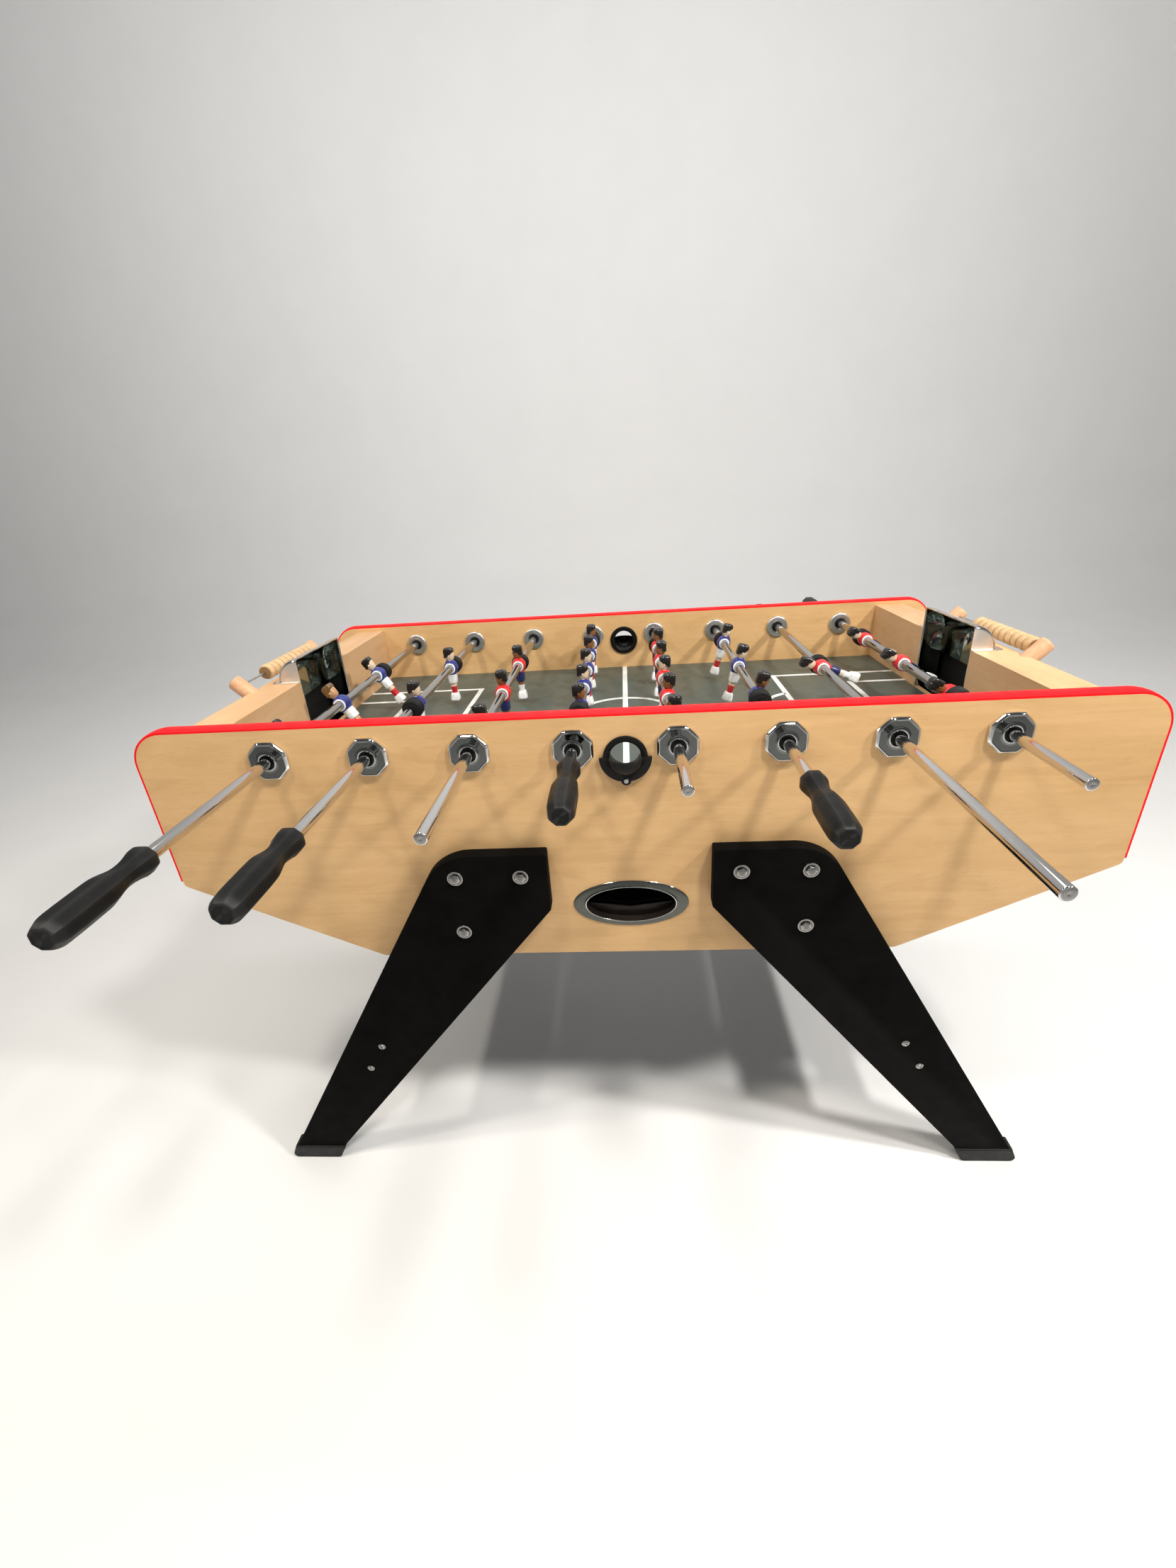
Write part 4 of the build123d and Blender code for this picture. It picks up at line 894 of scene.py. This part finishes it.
for k, (x, n, gap, hand, shift, tilt, team, skins) in enumerate(RODS, start=1):
    t = math.radians(tilt)
    ct, st = math.cos(t), math.sin(t)
    face = 1 if team == "blue" else -1
    men = Shape()
    for i in range(n):
        y0 = shift + gap * ((n - 1) / 2 - i)
        skin = skins[i]
        hair = "brown" if skin == "t" else "hair"
        for rings, slot_no, loop in figure(team, skin, hair, 3 * k + 5 * i):
            placed = []
            for ring in rings:
                row = []
                for px, py, pz in ring:
                    px, py = face * px, face * py
                    row.append((x + px * ct + pz * st, y0 + py, ROD_Z - px * st + pz * ct))
                placed.append(row)
            men.loft(placed, slot_no, loop=loop)
    mats = [MEN[team], MEN["white"], MEN["white"] if team == "blue" else MEN["navy"], MEN["l"], MEN["t"], MEN["b"], MEN["sock"], MEN["hair"], MEN["brown"]]
    men.make(f"figures_{k}", mats, f"rod_{k}", [f"players_{k}"], f"{team}_team", 50)

    travel = IN_Y - 6.0 - (gap * (n - 1) / 2 + MAN_HALF + BUMPER_GAP + BUMPER_L) - 0.5
    y_bare = shift - hand * (OUT_Y + 10 + travel + 20)
    y_grip = shift + hand * (OUT_Y + 10 + travel + 17)
    y_end = y_grip + hand * (HANDLE_L - 14)

    rod = Shape()
    ends = ((0.5, 0.4), (0.15, 1.2), (0.0, 2.0), (0.0, 6.7), (0.35, 7.5), (1.0, 8.0), (1.5, 8.0), (3.0, 8.0))
    rings = [circle(x, y_bare + hand * d, ROD_Z, r, 40) for d, r in ends]
    for i in range(1, 12):
        rings.append(circle(x, y_bare + (y_end - y_bare) * i / 12, ROD_Z, ROD_R, 40))
    rings += [circle(x, y_end - hand * d, ROD_Z, r, 40) for d, r in reversed(ends)]
    rod.loft(rings, [1 if i < 3 or i > len(rings) - 5 else 0 for i in range(len(rings) - 1)])
    rod.make(f"rod_bar_{k}", [ROD_CHROME, ROD_END], f"rod_{k}", [f"rod_{k}"], "rod_steel", 40)

    grip = Shape()
    prof = ((1.2, 8.1), (0.3, 9.2), (0.0, 12.2), (0.5, 13.8), (2.2, 15.3), (4.5, 16.4), (7.0, 16.9), (14.0, 16.8), (17.0, 16.4), (22.0, 15.1), (28.0, 13.8), (34.0, 13.0), (40.0, 12.8), (46.0, 13.2), (52.0, 14.3),
            (58.0, 15.8), (64.0, 17.1), (69.0, 17.8), (74.0, 18.1), (90.0, 18.2), (112.0, 18.1), (125.0, 17.8), (129.5, 17.5), (132.5, 17.0), (136.0, 15.8), (139.0, 14.4), (141.0, 13.2), (141.8, 12.3), (142.0, 11.2), (141.7, 10.4), (141.3, 9.9), (141.3, 2.0))
    grip.loft([gon(x, y_grip + hand * d, ROD_Z, r, 8, 0.0 if d < 1.3 and r < 10 else 1.0, 6, 0.010) for d, r in prof], cap0=False)
    grip.make(f"grip_{k}", [GRIP], f"rod_{k}", [f"handle_{k}"], "grip_plastic", 22)

    buffers = Shape()
    prof = ((0.0, 8.15), (0.0, 15.9), (0.5, 17.0), (1.5, 17.8), (3.4, 17.9), (4.6, 17.3), (5.2, 16.1), (6.3, 15.9), (7.0, 17.0), (8.0, 17.9), (10.2, 18.0), (11.3, 17.2), (12.0, 16.0), (13.1, 15.9), (13.8, 17.0), (14.8, 17.9), (17.0, 17.8),
            (18.1, 17.0), (18.7, 15.9), (19.8, 15.6), (20.5, 16.1), (21.3, 16.0), (21.9, 15.2), (22.0, 14.0), (22.0, 8.15))
    for e in (-1, 1):
        y0 = shift + e * (gap * (n - 1) / 2 + MAN_HALF + BUMPER_GAP)
        buffers.loft([circle(x, y0 + e * d, ROD_Z, r, 44) for d, r in prof], loop=True)
    buffers.make(f"buffers_{k}", [RUBBER], f"bumpers_{k}", [f"bumpers_{k}"], "bumper_rubber", 45)

# ------------------------------------------------------------------ floor, backdrop, light, camera
st = Mat("studio_pale", Roughness=0.85, Specular_IOR_Level=0.15)
st.color(st.ramp(st.noise(st.scaled(3.0), 1.0, 3.0), (0.3, (0.91, 0.91, 0.91)), (0.7, (0.93, 0.93, 0.93))))
sweep = [(-7.0, 0.0), (3.2, 0.0), (3.9, 0.10), (4.4, 0.40), (4.7, 0.90), (4.8, 1.6), (4.8, 7.0)]
me = bpy.data.meshes.new("studio_floor")
verts = [(sx * 9.0, y, z) for y, z in sweep for sx in (-1, 1)]
me.from_pydata(verts, [], [(2 * i, 2 * i + 1, 2 * i + 3, 2 * i + 2) for i in range(len(sweep) - 1)])
me.materials.append(st.m)
me.polygons.foreach_set("use_smooth", [True] * len(me.polygons))
floor = bpy.data.objects.new("studio_floor", me)
scene.collection.objects.link(floor)

world = bpy.data.worlds.new("studio")
world.use_nodes = True
wt = world.node_tree
bg = wt.nodes["Background"]
way = wt.nodes.new("ShaderNodeTexCoord")
part = wt.nodes.new("ShaderNodeSeparateXYZ")
fade = wt.nodes.new("ShaderNodeValToRGB")
wt.links.new(way.outputs["Generated"], part.inputs[0])
wt.links.new(part.outputs["Z"], fade.inputs["Fac"])
wt.links.new(fade.outputs["Color"], bg.inputs["Color"])
for _ in range(2):
    fade.color_ramp.elements.new(0.5)
for e, (at, v) in zip(fade.color_ramp.elements, ((0.0, 1.0), (0.16, 0.95), (0.45, 0.45), (0.8, 0.30))):
    e.position, e.color = at, (v, v * 0.985, v * 0.96, 1)
bg.inputs["Strength"].default_value = 0.34
scene.world = world


def lamp(name, loc, aim, size, power, color=(1.0, 0.96, 0.90)):
    data = bpy.data.lights.new(name, "AREA")
    data.shape = "RECTANGLE"
    data.size, data.size_y = size
    data.energy = power
    data.color = color
    o = bpy.data.objects.new(name, data)
    scene.collection.objects.link(o)
    o.location = loc
    o.rotation_euler = (Vector(aim) - Vector(loc)).to_track_quat("-Z", "Y").to_euler()
    return o


lamp("key_far_left", (-2.0, -0.96, 2.6), (-0.3, 0.0, 0.8), (0.22, 0.22), 19, (1.0, 0.93, 0.82))
lamp("key_left", (-0.7, -0.98, 2.6), (0.0, 0.0, 0.8), (0.22, 0.22), 17, (1.0, 0.93, 0.82))
lamp("key_right", (0.8, -1.2, 2.6), (0.0, 0.0, 0.8), (0.22, 0.22), 33, (1.0, 0.97, 0.92))
lamp("key_far_right", (2.0, -1.1, 2.6), (0.3, 0.0, 0.8), (0.22, 0.22), 51, (1.0, 0.97, 0.92))
lamp("top_back", (-0.2, 1.0, 3.1), (0.0, 0.0, 0.8), (1.6, 0.6), 12)
lamp("low_front", (0.6, -3.6, 1.2), (0.0, 0.0, 0.6), (3.0, 1.2), 4, (1.0, 0.98, 0.95))
lamp("sweep_wash", (0.0, 1.6, 4.6), (0.0, 4.8, 1.6), (7.0, 0.6), 90, (1.0, 0.99, 0.97))

cam = bpy.data.cameras.new("camera")
cam.sensor_fit = "AUTO"
cam.sensor_width = 36.0
cam.lens = 14.579967
cam.clip_start, cam.clip_end = 0.01, 100.0
eye = bpy.data.objects.new("camera", cam)
scene.collection.objects.link(eye)
turn = Matrix(((0.9970134, 0.0344675, 0.0691104), (0.0478317, 0.4269876, -0.9029915), (-0.0606332, 0.9036003, 0.4240638)))
eye.matrix_world = Matrix.Translation((0.008151, -1.230761, 1.198327)) @ turn.to_4x4()
scene.camera = eye
scene.view_settings.view_transform = "Standard"
scene.view_settings.look = "None"
